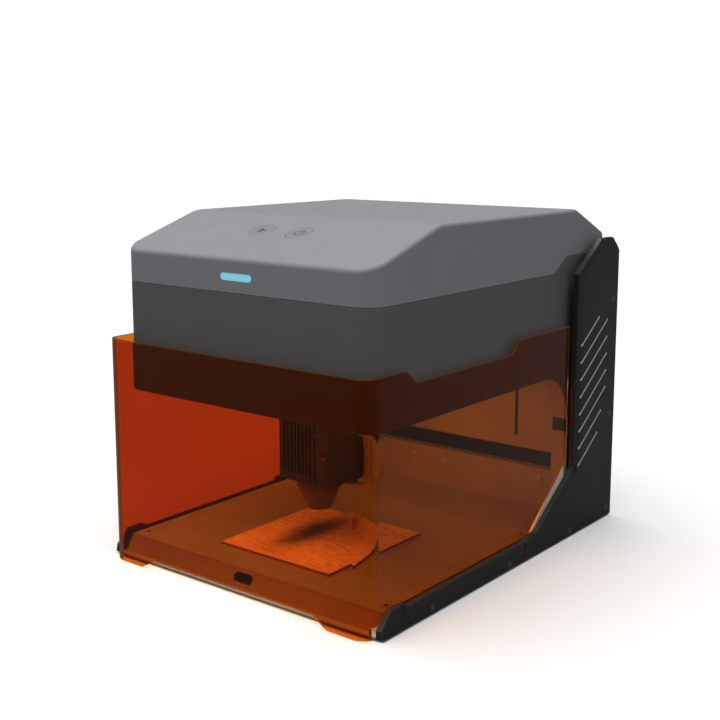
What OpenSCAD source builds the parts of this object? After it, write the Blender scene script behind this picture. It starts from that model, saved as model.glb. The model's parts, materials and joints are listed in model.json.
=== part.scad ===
// Desktop laser cutter: two black side plates carry a cantilevered two-tone housing with an
// X-Y gantry inside. A finned laser head hangs through the floor of the housing over a flat
// work bed, and a bent amber acrylic cover lifts off the work area.
// Origin: centre of the overall box at floor level. +X right, +Y to the back, +Z up. Millimetres.

/* [Overall] */
// Depth from the front of the cover to the rear edge of the side plates
overall_d = 392; // [390:1:394]
// Height of the rubber feet
foot_h = 1.4; // [1.2:0.1:1.6]
// Thickness of the base plate
base_t = 2; // [1.8:0.1:2.2]

/* [Side plates] */
// Distance from the centre to the inner face of a side plate
plate_in = 148.25; // [148.2:0.05:149]
// Thickness of a side plate
plate_t = 7; // [6:0.5:8]
// In-plane width of the chamfer on the outer face
plate_chamfer_w = 8; // [6:1:9]
// Depth of that chamfer
plate_chamfer_d = 2; // [1:0.5:2.5]
// Number of slanted accent lines on each side plate
line_count = 8; // [4:1:8]
// Vertical pitch of the accent lines
line_pitch = 16.7; // [16:0.1:17]
// Slope of the accent lines in degrees
line_angle = 34.4; // [32:0.2:36]

/* [Housing] */
// Width of the housing
housing_w = 280; // [279:0.5:280.5]
// Wall thickness of both housing shells
shell_t = 3; // [2.5:0.5:3]
// Radius of the upright front corners
corner_r = 20; // [18:1:22]
// Height of the top of the machine
top_z = 312.5; // [311:0.5:314]
// Height of the front edge of the sloping control face
brow_z = 283.1; // [282:0.5:284]
// Height of the underside of the housing
belly_z = 157.4; // [157:0.2:158]
// Height of the seam between the lower and upper shells at the front
seam_z = 254.2; // [253:0.2:256]

/* [Controls] */
// Radius of a push button
button_r = 12; // [11:0.5:12]
// Distance of each button from the centre line
button_x = 21; // [20:0.5:24]
// Travel of a push button
button_travel = 1; // [0.8:0.1:1]
// Length of the status light
light_w = 34.6; // [30:1:38]
// Height of the status light
light_h = 6.3; // [5:0.5:7]

/* [Cover] */
// Thickness of the acrylic cover
cover_t = 3; // [2.8:0.1:3]
// Height of the top edge of the cover
cover_top = 203.9; // [202:0.5:206]
// Outer radius of the two upright bends of the cover
cover_bend_r = 15; // [13:1:17]

/* [Work area] */
// Height of the top of the work bed
bed_top = 17.7; // [17:0.1:18]
// Size of the sample sheet along X
sheet_w = 126; // [100:2:140]
// Size of the sample sheet along Y
sheet_d = 128.6; // [100:2:130]
// Thickness of the sample sheet
sheet_t = 2.7; // [2:0.1:2.7]

/* [Laser head] */
// Width of the laser head
head_w = 58; // [56:1:58]
// Depth of the heatsink of the laser head
head_d = 31; // [30:0.5:31]
// Sideways place of the laser head at rest
head_x = 3; // [-10:1:10]
// Number of slots between the cooling fins
fin_slots = 8; // [6:1:8]
// Height of the tip of the nozzle
nozzle_tip_z = 49.4; // [45:0.5:50]
// Radius of the nozzle at its collar
nozzle_r = 20; // [19.5:0.5:22]
// Radius of the nozzle at its tip
tip_r = 11.5; // [10:0.5:14]

/* [Motion] */
// Radius of the two guide rods along Y
rod_r = 4; // [3:0.5:4]

/* [Hidden] */
$fn = 48;

// Pitch radius of a 20-tooth pulley for 2 mm pitch belt.
pulley_r = 6.37;
y_front = -overall_d / 2;
y_rear = overall_d / 2;
plate_out = plate_in + plate_t;
base_top = foot_h + base_t;
house_x = housing_w / 2;
house_in = house_x - shell_t;
house_front = y_front + 15.5;
house_rear = y_rear - 4;
crease_y = house_front + 89;
slope_angle = atan2(top_z - brow_z, crease_y - house_front);
seam_back_z = seam_z + 14.8;
cover_out = plate_in - 0.55;
cover_in = cover_out - cover_t;
cover_z = base_top + 6.4;
bed_x = cover_in - 0.9;
head_left = head_x - head_w / 2;
head_right = head_x + head_w / 2;
head_front = -100.5;
head_back = head_front + head_d;
head_bottom = 76.4;
head_top = 176;
beam_y = -26;
beam_z = 186;
rod_x = 129;
belt_in_r = pulley_r - 0.65;
belt_out_r = pulley_r + 0.73;
x_belt_z = 203;
x_pulley_x = 108;
y_belt_z = 215;
y_idler_y = -150;
y_drive_y = 112;
fan_x = -70;
fan_z = 70;
rail_screws = [-120, 0, 110];
post_screws = [10, 107.4, 222.4];
post_screw_y = 187;
back_screw_x = 144.15;
back_screw_z = [22, 140, 255];
beam_screw_x = [-65, -25, 50, 91];
beam_screw_z = 34.4;
nozzle_y = -79.5;
air_y = -66;
air_z = 73.4;
lever_x = 27.8;
lever_z = 105.3;
light_z = 267.6;
button_y = -126;
board_depth = 13.4;
switch_top = 9.3;
button_z = brow_z + (button_y - house_front) * tan(slope_angle);

// Outline of a side plate in the Y-Z plane, anticlockwise from its front foot.
plate_outline = [
    [y_front + 10, foot_h], [y_rear, foot_h], [y_rear, 270], [190.5, 276.4], [185.5, 283.4],
    [162.5, 283.4], [117.5, 253.4], [117.5, 66.4], [50.5, 21.4], [32.5, 21.4], [29.5, 18],
    [-150.5, 18], [-156.5, 21.4], [-172.7, 21.8], [y_front + 10, 8.4]
];

// Chamfered edges of that outline: index of the first point, then how far the cut runs past each end.
chamfered_edges = [
    [4, 10, 10], [5, 10, 10], [6, 10, -0.7], [7, 1.5, 10], [8, -1, -1], [10, -1, -1], [12, -1, 10], [13, 10, 10]
];

// Curve that leads the underside of the housing down into the legs.
function throat(t) = let (a = [85.5, belly_z], b = [122.5, belly_z - 6], c = [128.5, belly_z - 46])
    (1 - t) * (1 - t) * a + 2 * t * (1 - t) * b + t * t * c;
throat_line = [for (i = [0:10]) throat(i / 10)];
throat_inner = [for (i = [4:10]) throat(i / 10) + [2, 1.6]];

// ---------- shared shapes ----------

// Box between two opposite corners.
module box(low, high) {
    translate(low) cube(high - low);
}

// Outline in the Y-Z plane, stretched along X from x0 to x1.
module along_x(x0, x1) {
    translate([x0, 0, 0]) rotate([90, 0, 90]) linear_extrude(x1 - x0) children();
}

// Outline in the X-Z plane, stretched along Y from y0 to y1.
module along_y(y0, y1) {
    translate([0, y1, 0]) rotate([90, 0, 0]) linear_extrude(y1 - y0) children();
}

module rod_along_x(r, x0, x1) {
    translate([x0, 0, 0]) rotate([0, 90, 0]) cylinder(r = r, h = x1 - x0);
}

module rod_along_y(r, y0, y1) {
    translate([0, y0, 0]) rotate([-90, 0, 0]) cylinder(r = r, h = y1 - y0);
}

// The same shape on the right and, mirrored, on the left.
module both_sides() {
    children();
    mirror([1, 0, 0]) children();
}

// Flat bar with round ends.
module stadium(length, width) {
    square([length - width, width], center = true);
    for (s = [-1, 1]) translate([s * (length - width) / 2, 0]) circle(d = width);
}

// Top view of the housing or the cover, with its two front corners rounded.
module plan(half_w, front, back, r) {
    translate([-half_w, front + r]) square([2 * half_w, back - front - r]);
    translate([-half_w + r, front]) square([2 * (half_w - r), 2 * r]);
    for (s = [-1, 1]) translate([s * (half_w - r), front + r]) circle(r, $fn = 64);
}

// Dome-headed screw with its head on the plane z = 0 and a hexagon socket.
module dome_screw(head_r, shank_r, length) {
    difference() {
        intersection() {
            cylinder(r = head_r, h = head_r * 0.75);
            translate([0, 0, -head_r * 0.5]) sphere(r = head_r * 1.18);
        }
        translate([0, 0, head_r * 0.25]) cylinder(r = head_r * 0.5, h = head_r, $fn = 6);
    }
    translate([0, 0, -length]) cylinder(r = shank_r, h = length);
}

// Countersunk screw flush with the plane z = 0.
module flush_screw(head_r, shank_r, length) {
    difference() {
        union() {
            translate([0, 0, shank_r - head_r]) cylinder(r1 = shank_r, r2 = head_r, h = head_r - shank_r);
            translate([0, 0, -length]) cylinder(r = shank_r, h = length);
        }
        translate([0, 0, -1]) cylinder(r = head_r * 0.42, h = 2, $fn = 6);
    }
}

module flush_screw_hole(head_r, shank_r, length) {
    translate([0, 0, shank_r - head_r]) cylinder(r1 = shank_r, r2 = head_r + 0.02, h = head_r - shank_r + 0.02);
    translate([0, 0, -length]) cylinder(r = shank_r, h = length);
}

// Wedge that chamfers the outer face along one edge of the side plate, run past its ends.
module edge_cut(p, q, past_p, past_q) {
    run = q - p;
    len = norm(run);
    dir = run / len;
    w = plate_chamfer_w;
    d = plate_chamfer_d;
    multmatrix([
        [0, -1, 0, plate_out],
        [-dir[1], 0, -dir[0], q[0] + dir[0] * past_q],
        [dir[0], 0, -dir[1], q[1] + dir[1] * past_q],
        [0, 0, 0, 1]
    ])
    linear_extrude(len + past_p + past_q)
    polygon([[-0.5, -0.5], [w * (1 + 0.5 / d), -0.5], [-0.5, d * (1 + 0.5 / w)]]);
}

// Loop of belt round two pulleys, as a flat ring of the given width along Z.
module belt_loop(span, width) {
    linear_extrude(width) difference() {
        stadium(span + 2 * belt_out_r, 2 * belt_out_r);
        stadium(span + 2 * belt_in_r, 2 * belt_in_r);
    }
}

// Flanged belt pulley along Z, centred on its groove.
module pulley(bore_r) {
    difference() {
        union() {
            cylinder(r = belt_in_r - 0.05, h = 6.6, center = true);
            for (s = [-1, 1]) translate([0, 0, s * 3.8]) cylinder(r = 8, h = 1, center = true);
        }
        cylinder(r = bore_r, h = 20, center = true);
    }
}

// Square fan frame with a round duct and four corner holes, standing on z = 0.
module fan_frame(side, depth, duct_r, hole_pitch, hole_r) {
    difference() {
        translate([-side / 2, -side / 2, 0]) cube([side, side, depth]);
        translate([0, 0, 1.5]) cylinder(r = duct_r, h = depth);
        difference() {
            translate([0, 0, -1]) cylinder(r = duct_r, h = 4);
            translate([0, 0, -2]) cylinder(r = duct_r * 0.42, h = 6);
            for (a = [45, 135]) rotate([0, 0, a]) translate([-side, -1.5, -2]) cube([2 * side, 3, 6]);
        }
        for (x = [-1, 1], y = [-1, 1])
            translate([x * hole_pitch / 2, y * hole_pitch / 2, -1]) cylinder(r = hole_r, h = depth + 2);
    }
    cylinder(r = 1.5, h = depth * 0.6);
}

// Fan rotor on the same axis: a hub cup that turns on the frame's stub axle, with pitched blades.
module fan_rotor(depth, tip, blades) {
    hub = tip * 0.42;
    difference() {
        translate([0, 0, 2]) cylinder(r = hub, h = depth - 2.6);
        translate([0, 0, 1]) cylinder(r = 1.55, h = depth * 0.6);
    }
    for (i = [0:blades - 1])
        rotate([0, 0, i * 360 / blades])
        translate([hub - 0.4, 0, depth / 2 + 0.7])
        rotate([32, 0, 0])
        translate([0, -depth * 0.42, -0.6])
        cube([tip - hub - 0.6, depth * 0.84, 1.2]);
}

// Frame of a control on the sloping face: z runs out of the face.
module on_slope(x) {
    translate([x, button_y, button_z]) rotate([slope_angle, 0, 0]) children();
}

// ---------- base and bed ----------

module rubber_feet() {
    color("#1b1b1c") both_sides() for (y = [-168, 172]) translate([128, y, 0]) cylinder(r = 8, h = foot_h);
}

module base_plate() {
    color("#8d8f92") box([-plate_in + 0.05, y_front + 9, foot_h], [plate_in - 0.05, house_rear - 0.1, base_top]);
}

// Inner bars that tie the plates to the base and to the back: one low rail and one upright post a side.
module frame_bars() {
    color("#3a3b3d") both_sides() {
        difference() {
            box([bed_x + 0.2, -172, base_top], [plate_in - 0.05, 130, cover_z]);
            for (y = rail_screws) translate([0, y, base_top + 3.2]) rod_along_x(1.5, plate_in - 3.6, plate_in + 1);
        }
        difference() {
            box([house_x + 0.1, 181, base_top], [plate_in - 0.05, house_rear, seam_back_z]);
            for (z = post_screws) translate([0, post_screw_y, z]) rod_along_x(1.5, 143, 152);
            for (z = back_screw_z) translate([back_screw_x, 184, z]) rod_along_y(1.5, 0, 10);
        }
    }
}

// Shallow folded tray: flat top, side and rear flanges, and a sloping front apron.
module work_bed() {
    sheet = 1.5;
    front = -173;
    back = 54.5;
    color("#8f9194") difference() {
        union() {
            box([-bed_x, front, bed_top - sheet], [bed_x, back, bed_top]);
            both_sides() box([bed_x - sheet, front, base_top], [bed_x, back, bed_top]);
            box([-bed_x, back - sheet, base_top], [bed_x, back, bed_top]);
            along_x(-bed_x, bed_x) polygon([
                [front + 0.6, bed_top], [front - 8, base_top], [front - 6.4, base_top],
                [front + 1.8, bed_top - sheet]
            ]);
        }
        both_sides() translate([133.7, -165, bed_top - 0.3]) cube([0.6, 212, 1]);
        both_sides() for (y = [-160, 45.8]) translate([136.7, y, 0]) cylinder(r = 2.1, h = bed_top + 1);
        translate([0, front - 4, base_top + 7]) rotate([90, 0, 0]) linear_extrude(20, center = true) stadium(22, 8);
    }
}

module bed_screws() {
    color("#2a2b2c") both_sides() for (y = [-160, 45.8])
        translate([136.7, y, base_top]) difference() {
            cylinder(r = 2.05, h = bed_top - base_top - 0.3);
            translate([0, 0, bed_top - base_top - 1.5]) cylinder(r = 1.1, h = 2, $fn = 6);
        }
}

// Loose sheet of plywood that lies on the bed.
module sample_sheet() {
    color("#c79a62") translate([head_x + 0.6 - sheet_w / 2, -142.6, bed_top]) cube([sheet_w, sheet_d, sheet_t]);
}

// ---------- side plates ----------

// Accent lines as solids that reach 0.6 mm into the outer face of the right plate.
module line_bars(depth) {
    starts = [for (i = [0:line_count - 1]) [122.9, foot_h + 66 + i * line_pitch]];
    lengths = [for (i = [0:line_count - 1]) i == 0 ? 45 : i == 1 ? 53 : i == line_count - 1 ? 42 : 63];
    for (i = [0:line_count - 1])
        translate([plate_out - depth, starts[i][0], starts[i][1]])
        rotate([line_angle, 0, 0])
        rotate([90, 0, 90])
        linear_extrude(depth + (depth > 0.6 ? 1 : 0)) {
            translate([0.9, -0.9]) square([lengths[i] - 0.9, 1.8]);
            translate([0.9, 0]) circle(0.9);
            translate([lengths[i], 0]) circle(1.3);
        }
}

module plate_screw_places() {
    for (z = post_screws) translate([plate_out, post_screw_y, z]) rotate([0, 90, 0]) children();
    for (y = rail_screws) translate([plate_out, y, base_top + 3.2]) rotate([0, 90, 0]) children();
}

module right_plate() {
    p = plate_outline;
    difference() {
        along_x(plate_in, plate_out) polygon(p);
        for (edge = chamfered_edges) edge_cut(p[edge[0]], p[edge[0] + 1], edge[1], edge[2]);
        line_bars(0.7);
        plate_screw_places() flush_screw_hole(2.9, 1.5, 20);
    }
}

module right_side_plate() { color("#242526") right_plate(); }
module left_side_plate() { color("#242526") mirror([1, 0, 0]) right_plate(); }
module accent_lines() { color("#a0a09c") both_sides() line_bars(0.6); }

module plate_screws() {
    color("#c8c9cb") both_sides() difference() {
        plate_screw_places() flush_screw(2.9, 1.5, 10.4);
        box([140, -200, 0], [plate_in - 3.6, 200, 15]);
    }
}

// ---------- rear column ----------

module grille_slots() {
    difference() {
        for (r = [10, 18, 26, 34])
            rotate([90, 0, 0]) linear_extrude(10, center = true) difference() {
                circle(r + 4.5);
                circle(r);
            }
        for (a = [45, 135]) rotate([0, a, 0]) cube([200, 20, 4], center = true);
    }
}

module back_panel() {
    color("#2b2c2d") difference() {
        box([-plate_in + 0.05, house_rear, base_top], [plate_in - 0.05, house_rear + 2, seam_back_z]);
        translate([fan_x, house_rear + 1, fan_z]) grille_slots();
        for (x = [-1, 1], z = [-1, 1])
            translate([fan_x + x * 35.75, house_rear - 1, fan_z + z * 35.75]) rod_along_y(2.15, 0, 4);
        translate([40, house_rear - 1, 30]) rod_along_y(4.5, 0, 4);
        box([60.3, house_rear - 1, 27.7], [69.7, house_rear + 3, 32.3]);
        box([93.5, house_rear - 1, 20.5], [106.5, house_rear + 3, 39.5]);
        both_sides() for (z = back_screw_z)
            translate([back_screw_x, house_rear - 1, z]) rod_along_y(1.6, 0, 4);
        for (x = [-60:12:60], z = [200, 212, 224])
            translate([x, house_rear - 1, z]) rod_along_y(2, 0, 4);
    }
}

module back_screws() {
    color("#1c1c1d") both_sides() for (z = back_screw_z)
        translate([back_screw_x, house_rear + 2, z]) rotate([-90, 0, 0]) dome_screw(2.4, 1.5, 9.9);
}

// Right leg: a folded cheek whose front blends up into the underside of the housing.
module right_leg() {
    x0 = 120.8;
    x1 = house_in - 0.1;
    difference() {
        along_x(x0, x1) polygon(concat(throat_line, [[128.5, base_top], [160.4, base_top], [160.4, belly_z]]));
        along_x(x0 + 2, x1 + 1) polygon(concat(
            throat_inner, [[130.5, base_top + 2], [158.4, base_top + 2], [158.4, belly_z - 2], [108, belly_z - 2]]
        ));
        box([x0 + 0.9, 120, 97.3], [x1 - 0.9, 134, 110.2]);
    }
}

module right_leg_cover() { color("#9a9b9e") right_leg(); }
module left_leg_cover() { color("#9a9b9e") mirror([1, 0, 0]) right_leg(); }

// Dark windows in the legs; each holds the switch that senses the cover.
module interlock_sensors() {
    color("#1f1f20") both_sides() box([121.8, 128.5, 97.4], [135.9, 134, 110.1]);
}

module rear_beam() {
    color("#8f9194") difference() {
        union() {
            box([-120.7, 160.5, base_top], [120.7, 162.5, 44.8]);
            box([-120.7, 160.5, 42.8], [120.7, 172, 44.8]);
        }
        for (x = beam_screw_x) translate([x, 155, beam_screw_z]) rod_along_y(1.5, 0, 10);
    }
}

module beam_screws() {
    color("#c8c9cb") for (x = beam_screw_x)
        translate([x, 160.5, beam_screw_z]) rotate([90, 0, 0]) dome_screw(3, 1.5, 4);
}

module rear_wall() {
    color("#9a9b9e") difference() {
        box([-120.7, 160.5, 63.4], [120.7, 162.5, belly_z - 0.1]);
        box([60.8, 150, 75.4], [64.2, 170, 150]);
    }
}

module exhaust_fan_frame() {
    color("#1d1d1e") translate([fan_x, house_rear, fan_z]) rotate([90, 0, 0]) fan_frame(80, 15, 38, 71.5, 2.15);
}

module exhaust_fan_rotor() {
    color("#2c2c2e") translate([fan_x, house_rear, fan_z]) rotate([90, 0, 0]) fan_rotor(14.5, 36.5, 7);
}

module dc_inlet() {
    color("#161617") translate([40, house_rear, 30]) rotate([-90, 0, 0]) {
        difference() {
            union() {
                translate([0, 0, -12]) cylinder(r = 4.4, h = 14);
                translate([0, 0, 2]) cylinder(r = 6, h = 1.4);
            }
            translate([0, 0, -8]) cylinder(r = 2.8, h = 20);
        }
        translate([0, 0, -9]) cylinder(r = 1, h = 9);
    }
}

module usb_port() {
    color("#b9babd") difference() {
        box([60.4, house_rear - 7, 27.8], [69.6, house_rear + 2.2, 32.2]);
        box([61, house_rear - 5, 28.4], [69, house_rear + 3, 31.6]);
    }
    color("#1d1d1e") box([62, house_rear - 6, 29.7], [68, house_rear + 1, 30.3]);
}

module power_switch() {
    color("#161617") difference() {
        union() {
            box([93.6, house_rear - 12, 20.6], [106.4, house_rear + 2, 39.4]);
            box([92, house_rear + 2, 19], [108, house_rear + 3, 41]);
        }
        box([95, house_rear - 10, 22], [105, house_rear + 4, 38]);
    }
    color("#161617") for (x = [95, 103]) translate([0, house_rear - 3, 30]) rod_along_x(1, x, x + 2);
}

module power_rocker() {
    color("#2a2a2b") translate([0, house_rear - 3, 30]) rotate([-8, 0, 0]) difference() {
        along_x(96.2, 103.8) polygon([
            [-3, -2], [0, -4], [3.4, -7.1], [5, -7.1], [4, 0], [5, 7.1], [3.4, 7.1], [0, 4], [-3, 2]
        ]);
        rod_along_x(1.05, 90, 110);
    }
    color("#2a2a2b") translate([0, house_rear - 3, 30]) difference() {
        rod_along_x(1.8, 96.1, 103.9);
        rod_along_x(1.05, 90, 110);
    }
}

// ---------- housing ----------

module lower_profile() {
    polygon(concat([[house_front - 1, belly_z]], throat_line, [
        [128.5, base_top], [house_rear, base_top], [house_rear, seam_back_z], [116.5, seam_back_z],
        [93.5, seam_z], [house_front - 1, seam_z]
    ]));
}

module upper_profile() {
    polygon([
        [house_front - 1, seam_z + 0.4], [93.3, seam_z + 0.4], [116.3, seam_back_z + 0.4],
        [house_rear, seam_back_z + 0.4], [house_rear, top_z - 25.5], [135.25, top_z], [crease_y, top_z],
        [house_front, brow_z], [house_front - 1, brow_z - 0.3]
    ]);
}

module upper_hollow_profile() {
    polygon([
        [house_front, seam_z - 5], [house_rear - shell_t, seam_z - 5], [house_rear - shell_t, top_z - 27.3],
        [134.6, top_z - shell_t], [crease_y + 0.5, top_z - shell_t], [house_front, brow_z - shell_t * 1.05]
    ]);
}

module lower_housing() {
    color("#3f4042") intersection() {
        linear_extrude(320) difference() {
            plan(house_x, house_front, house_rear, corner_r);
            plan(house_in, house_front + shell_t, house_rear + 5, corner_r - shell_t);
        }
        along_x(-200, 200) lower_profile();
    }
}

module upper_housing() {
    color("#87898c") difference() {
        union() {
            difference() {
                intersection() {
                    linear_extrude(320) plan(house_x, house_front, house_rear, corner_r);
                    along_x(-200, 200) upper_profile();
                }
                intersection() {
                    linear_extrude(320) plan(house_in, house_front + shell_t, house_rear - shell_t, corner_r - shell_t);
                    along_x(-200, 200) upper_hollow_profile();
                }
            }
            for (x = [-36, 36]) on_slope(x) translate([0, 0, -board_depth]) cylinder(r = 3, h = board_depth - 2);
        }
        for (x = [-button_x, button_x]) on_slope(x) cylinder(r = button_r + 0.35, h = 20, center = true);
        translate([0, house_front, light_z]) rotate([90, 0, 0])
            linear_extrude(20, center = true) stadium(light_w, light_h);
    }
}

// Floor of the housing, open in the middle where the laser head travels.
module bottom_panel() {
    color("#56575a") difference() {
        union() {
            intersection() {
                box([-house_in + 0.1, house_front, belly_z], [house_in - 0.1, 85.4, belly_z + 2]);
                linear_extrude(320) plan(house_in - 0.1, house_front + shell_t + 0.1, 120, corner_r - shell_t);
            }
            box([-120.7, 85, belly_z], [120.7, 162.5, belly_z + 2]);
        }
        box([-125, -172, belly_z - 1], [125, 56, belly_z + 3]);
    }
}

module status_light() {
    color("#7fd6df") translate([0, house_front + 4.5, light_z]) rotate([90, 0, 0])
        linear_extrude(4.5) stadium(light_w - 0.2, light_h - 0.2);
}

// Round cap of a push button, with a stem that stops one travel above its switch.
module push_cap() {
    cap_t = 3.2;
    stem_end = switch_top - button_travel - 0.1;
    difference() {
        translate([0, 0, -cap_t]) cylinder(r = button_r, h = cap_t);
        children();
    }
    translate([0, 0, -stem_end]) cylinder(r = 2.5, h = stem_end - cap_t);
}

module play_button() {
    color("#77797c") on_slope(-button_x) push_cap()
        translate([0, 0, -0.3]) linear_extrude(1) polygon([[-3.4, -4.6], [4.8, 0], [-3.4, 4.6]]);
}

module power_button() {
    color("#77797c") on_slope(button_x) push_cap()
        translate([0, 0, -0.3]) linear_extrude(1) {
            difference() {
                circle(5);
                circle(3.9);
                translate([-1.7, 2]) square([3.4, 6]);
            }
            translate([-0.6, 0.8]) square([1.2, 5]);
        }
}

// Small circuit board behind the sloping face with one tactile switch under each button.
module button_board() {
    color("#1f5b3a") on_slope(0) box([-42, -10, -board_depth - 1.6], [42, 10, -board_depth]);
    color("#2a2a2b") for (x = [-button_x, button_x]) on_slope(x) {
        box([-3, -3, -board_depth], [3, 3, -switch_top - 0.6]);
        translate([0, 0, -switch_top - 0.6]) cylinder(r = 1.6, h = 0.6);
    }
}

module control_board() {
    board = house_rear - 12;
    color("#1f5b3a") difference() {
        box([-70, board, 170], [50, board + 1.6, 250]);
        for (x = [-65, 45], z = [175, 245]) translate([x, board - 1, z]) rod_along_y(1.6, 0, 4);
    }
    color("#232324") {
        box([-20, board - 1.4, 205], [-6, board, 219]);
        for (x = [10, 30], z = [185, 215]) box([x, board - 3, z], [x + 14, board, z + 18]);
        for (z = [182, 200, 218]) box([-66, board - 7, z], [-58, board, z + 12]);
    }
}

module board_standoffs() {
    color("#c9a74a") for (x = [-65, 45], z = [175, 245])
        translate([x, house_rear - 10.4, z]) rod_along_y(3, 0, 10.4);
}

// ---------- Y motion, fixed in the housing ----------

module y_rods() {
    color("#c8c9cb") both_sides() translate([rod_x, 0, beam_z]) rod_along_y(rod_r, -160, 104);
}

module y_rod_brackets() {
    color("#3a3b3d") both_sides() for (y = [-160, 97]) difference() {
        box([121, y, beam_z - 10], [house_in, y + 7, beam_z + 10]);
        translate([rod_x, y - 1, beam_z]) rod_along_y(rod_r, 0, 9);
    }
}

module y_belts() {
    color("#1b1b1c") both_sides() translate([rod_x - 3, (y_idler_y + y_drive_y) / 2, y_belt_z])
        rotate([90, 0, 90]) belt_loop(y_drive_y - y_idler_y, 6);
}

module y_idlers() {
    color("#b9babd") both_sides() translate([rod_x, y_idler_y, y_belt_z]) rotate([0, 90, 0]) pulley(2.55);
}

// Axle stubs for the front idlers, and bearings for the drive shaft at the back.
module y_axle_brackets() {
    color("#3a3b3d") both_sides() {
        box([134, y_idler_y - 8, y_belt_z - 9], [house_in, y_idler_y + 8, y_belt_z + 9]);
        translate([0, y_idler_y, y_belt_z]) rod_along_x(2.5, 124, 134.5);
        difference() {
            box([134, y_drive_y - 8, y_belt_z - 9], [house_in, y_drive_y + 8, y_belt_z + 9]);
            translate([0, y_drive_y, y_belt_z]) rod_along_x(2.55, 130, 136.4);
        }
    }
}

module y_motor() {
    color("#1d1d1e") translate([0, y_drive_y, y_belt_z]) difference() {
        union() {
            cube([26, 35, 35], center = true);
            rod_along_x(11, -15, 15);
        }
        rod_along_x(2.6, -20, 20);
    }
}

module y_motor_mount() {
    low = belly_z + 2;
    high = y_belt_z - 17.5;
    color("#8d8f92") {
        box([-13, y_drive_y - 16, high - 2], [13, y_drive_y + 16, high]);
        for (y = [-16, 14]) box([-13, y_drive_y + y, low], [13, y_drive_y + y + 2, high]);
    }
}

// Cross shaft of the Y drive with a belt pulley near each end.
module y_drive_shaft() {
    color("#b9babd") translate([0, y_drive_y, y_belt_z]) {
        rod_along_x(2.5, -136, 136);
        both_sides() translate([rod_x, 0, 0]) rotate([0, 90, 0]) pulley(1);
    }
}

// ---------- gantry ----------

// Slotted aluminium beam with a slider block and a belt clamp at each end.
module gantry_beam() {
    color("#6e7073") difference() {
        union() {
            box([-122, beam_y - 10, beam_z - 10], [122, beam_y + 10, beam_z + 10]);
            both_sides() box([121, beam_y - 16, beam_z - 9], [136, beam_y + 16, beam_z + 11]);
            both_sides() box([124, beam_y - 8, beam_z + 11], [134, beam_y + 8, y_belt_z - 2]);
        }
        box([-119, beam_y - 3, beam_z + 8], [90, beam_y + 3, beam_z + 12]);
        box([-119, beam_y + 8, beam_z - 3], [119, beam_y + 12, beam_z + 3]);
        both_sides() translate([rod_x, 0, beam_z]) rod_along_y(rod_r + 0.05, -60, 20);
        both_sides() box([125.7, beam_y - 20, y_belt_z - belt_out_r - 0.15],
                         [132.3, beam_y + 20, y_belt_z - belt_in_r + 0.15]);
    }
}

module x_rail() {
    color("#c8c9cb") box([-118, beam_y - 16.5, beam_z - 4.5], [118, beam_y - 10, beam_z + 4.5]);
}

module x_belt() {
    color("#1b1b1c") translate([0, beam_y, x_belt_z - 3]) belt_loop(2 * x_pulley_x, 6);
}

module x_idler() {
    color("#b9babd") translate([-x_pulley_x, beam_y, x_belt_z]) pulley(2.55);
}

module x_idler_bolt() {
    color("#c8c9cb") translate([-x_pulley_x, beam_y, beam_z + 8]) {
        cylinder(r = 2.5, h = 16);
        cylinder(r = 2.9, h = 4.6);
        translate([0, 0, 13.5]) cylinder(r = 4.5, h = 3);
    }
}

module x_motor() {
    color("#1d1d1e") translate([x_pulley_x, beam_y, 0]) difference() {
        union() {
            box([-14, -14, beam_z + 26], [14, 14, beam_z + 58]);
            box([-15, -15, beam_z + 24], [12.5, 14, beam_z + 26]);
            box([-15, 10, beam_z - 6], [12.5, 14, beam_z + 26]);
        }
        translate([0, 0, beam_z + 20]) cylinder(r = 2.6, h = 14);
    }
}

module x_motor_pulley() {
    color("#b9babd") translate([x_pulley_x, beam_y, 0]) {
        translate([0, 0, x_belt_z]) pulley(1);
        translate([0, 0, beam_z + 11.5]) cylinder(r = 2.5, h = 20);
    }
}

// ---------- carriage and laser head ----------

// Rail block, front plate with a dovetail bar, and a jaw that grips the front run of the belt.
module carriage() {
    color("#55565a") translate([head_x, beam_y, 0]) {
        difference() {
            box([-15, -20, beam_z - 10], [15, -12.2, beam_z + 10]);
            box([-16, -16.6, beam_z - 4.6], [16, -12, beam_z + 4.6]);
        }
        box([-20, -23, belly_z + 8], [20, -20, beam_z + 24]);
        box([-10, -26, belly_z + 8], [10, -23, beam_z + 18]);
        box([-8, -21, beam_z + 21.5], [8, -3.5, beam_z + 23.4]);
        box([-8, -9.4, beam_z + 13], [8, -7.3, beam_z + 21.6]);
        box([-8, -5.5, beam_z + 13], [8, -3.5, beam_z + 21.6]);
    }
}

// Channel behind the heatsink that slides up and down on the dovetail bar to set the focus.
module laser_bracket() {
    color("#47484b") translate([head_x, 0, 0]) difference() {
        union() {
            box([-27, -56.5, head_bottom], [27, -49.3, 200]);
            both_sides() box([24.5, head_back + 0.1, head_bottom], [27, -55, head_top]);
        }
        box([-10.1, -52.1, 0], [10.1, -40, 300]);
        translate([0, -53, 170]) rod_along_x(2.05, 10, 30);
    }
}

module laser_heatsink() {
    slot_w = 2.6;
    first = head_left + 4.5;
    color("#3d3e41") difference() {
        box([head_left, head_front, head_bottom], [head_right, head_back, head_top]);
        for (i = [0:fin_slots - 1])
            translate([first + i * (slot_w + 1.7), head_front - 1, head_bottom + 7]) cube([slot_w, 15, 200]);
        translate([head_x + 11, head_front - 1, head_bottom - 1]) cube([2.6, 3, 200]);
        translate([head_x, nozzle_y, head_bottom - 1]) cylinder(r = 8, h = 46);
        for (place = [[lever_x, lever_z], [14, 122.5]])
            translate([place[0], head_front - 1, place[1]]) rod_along_y(1.5, 0, 7);
    }
}

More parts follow.
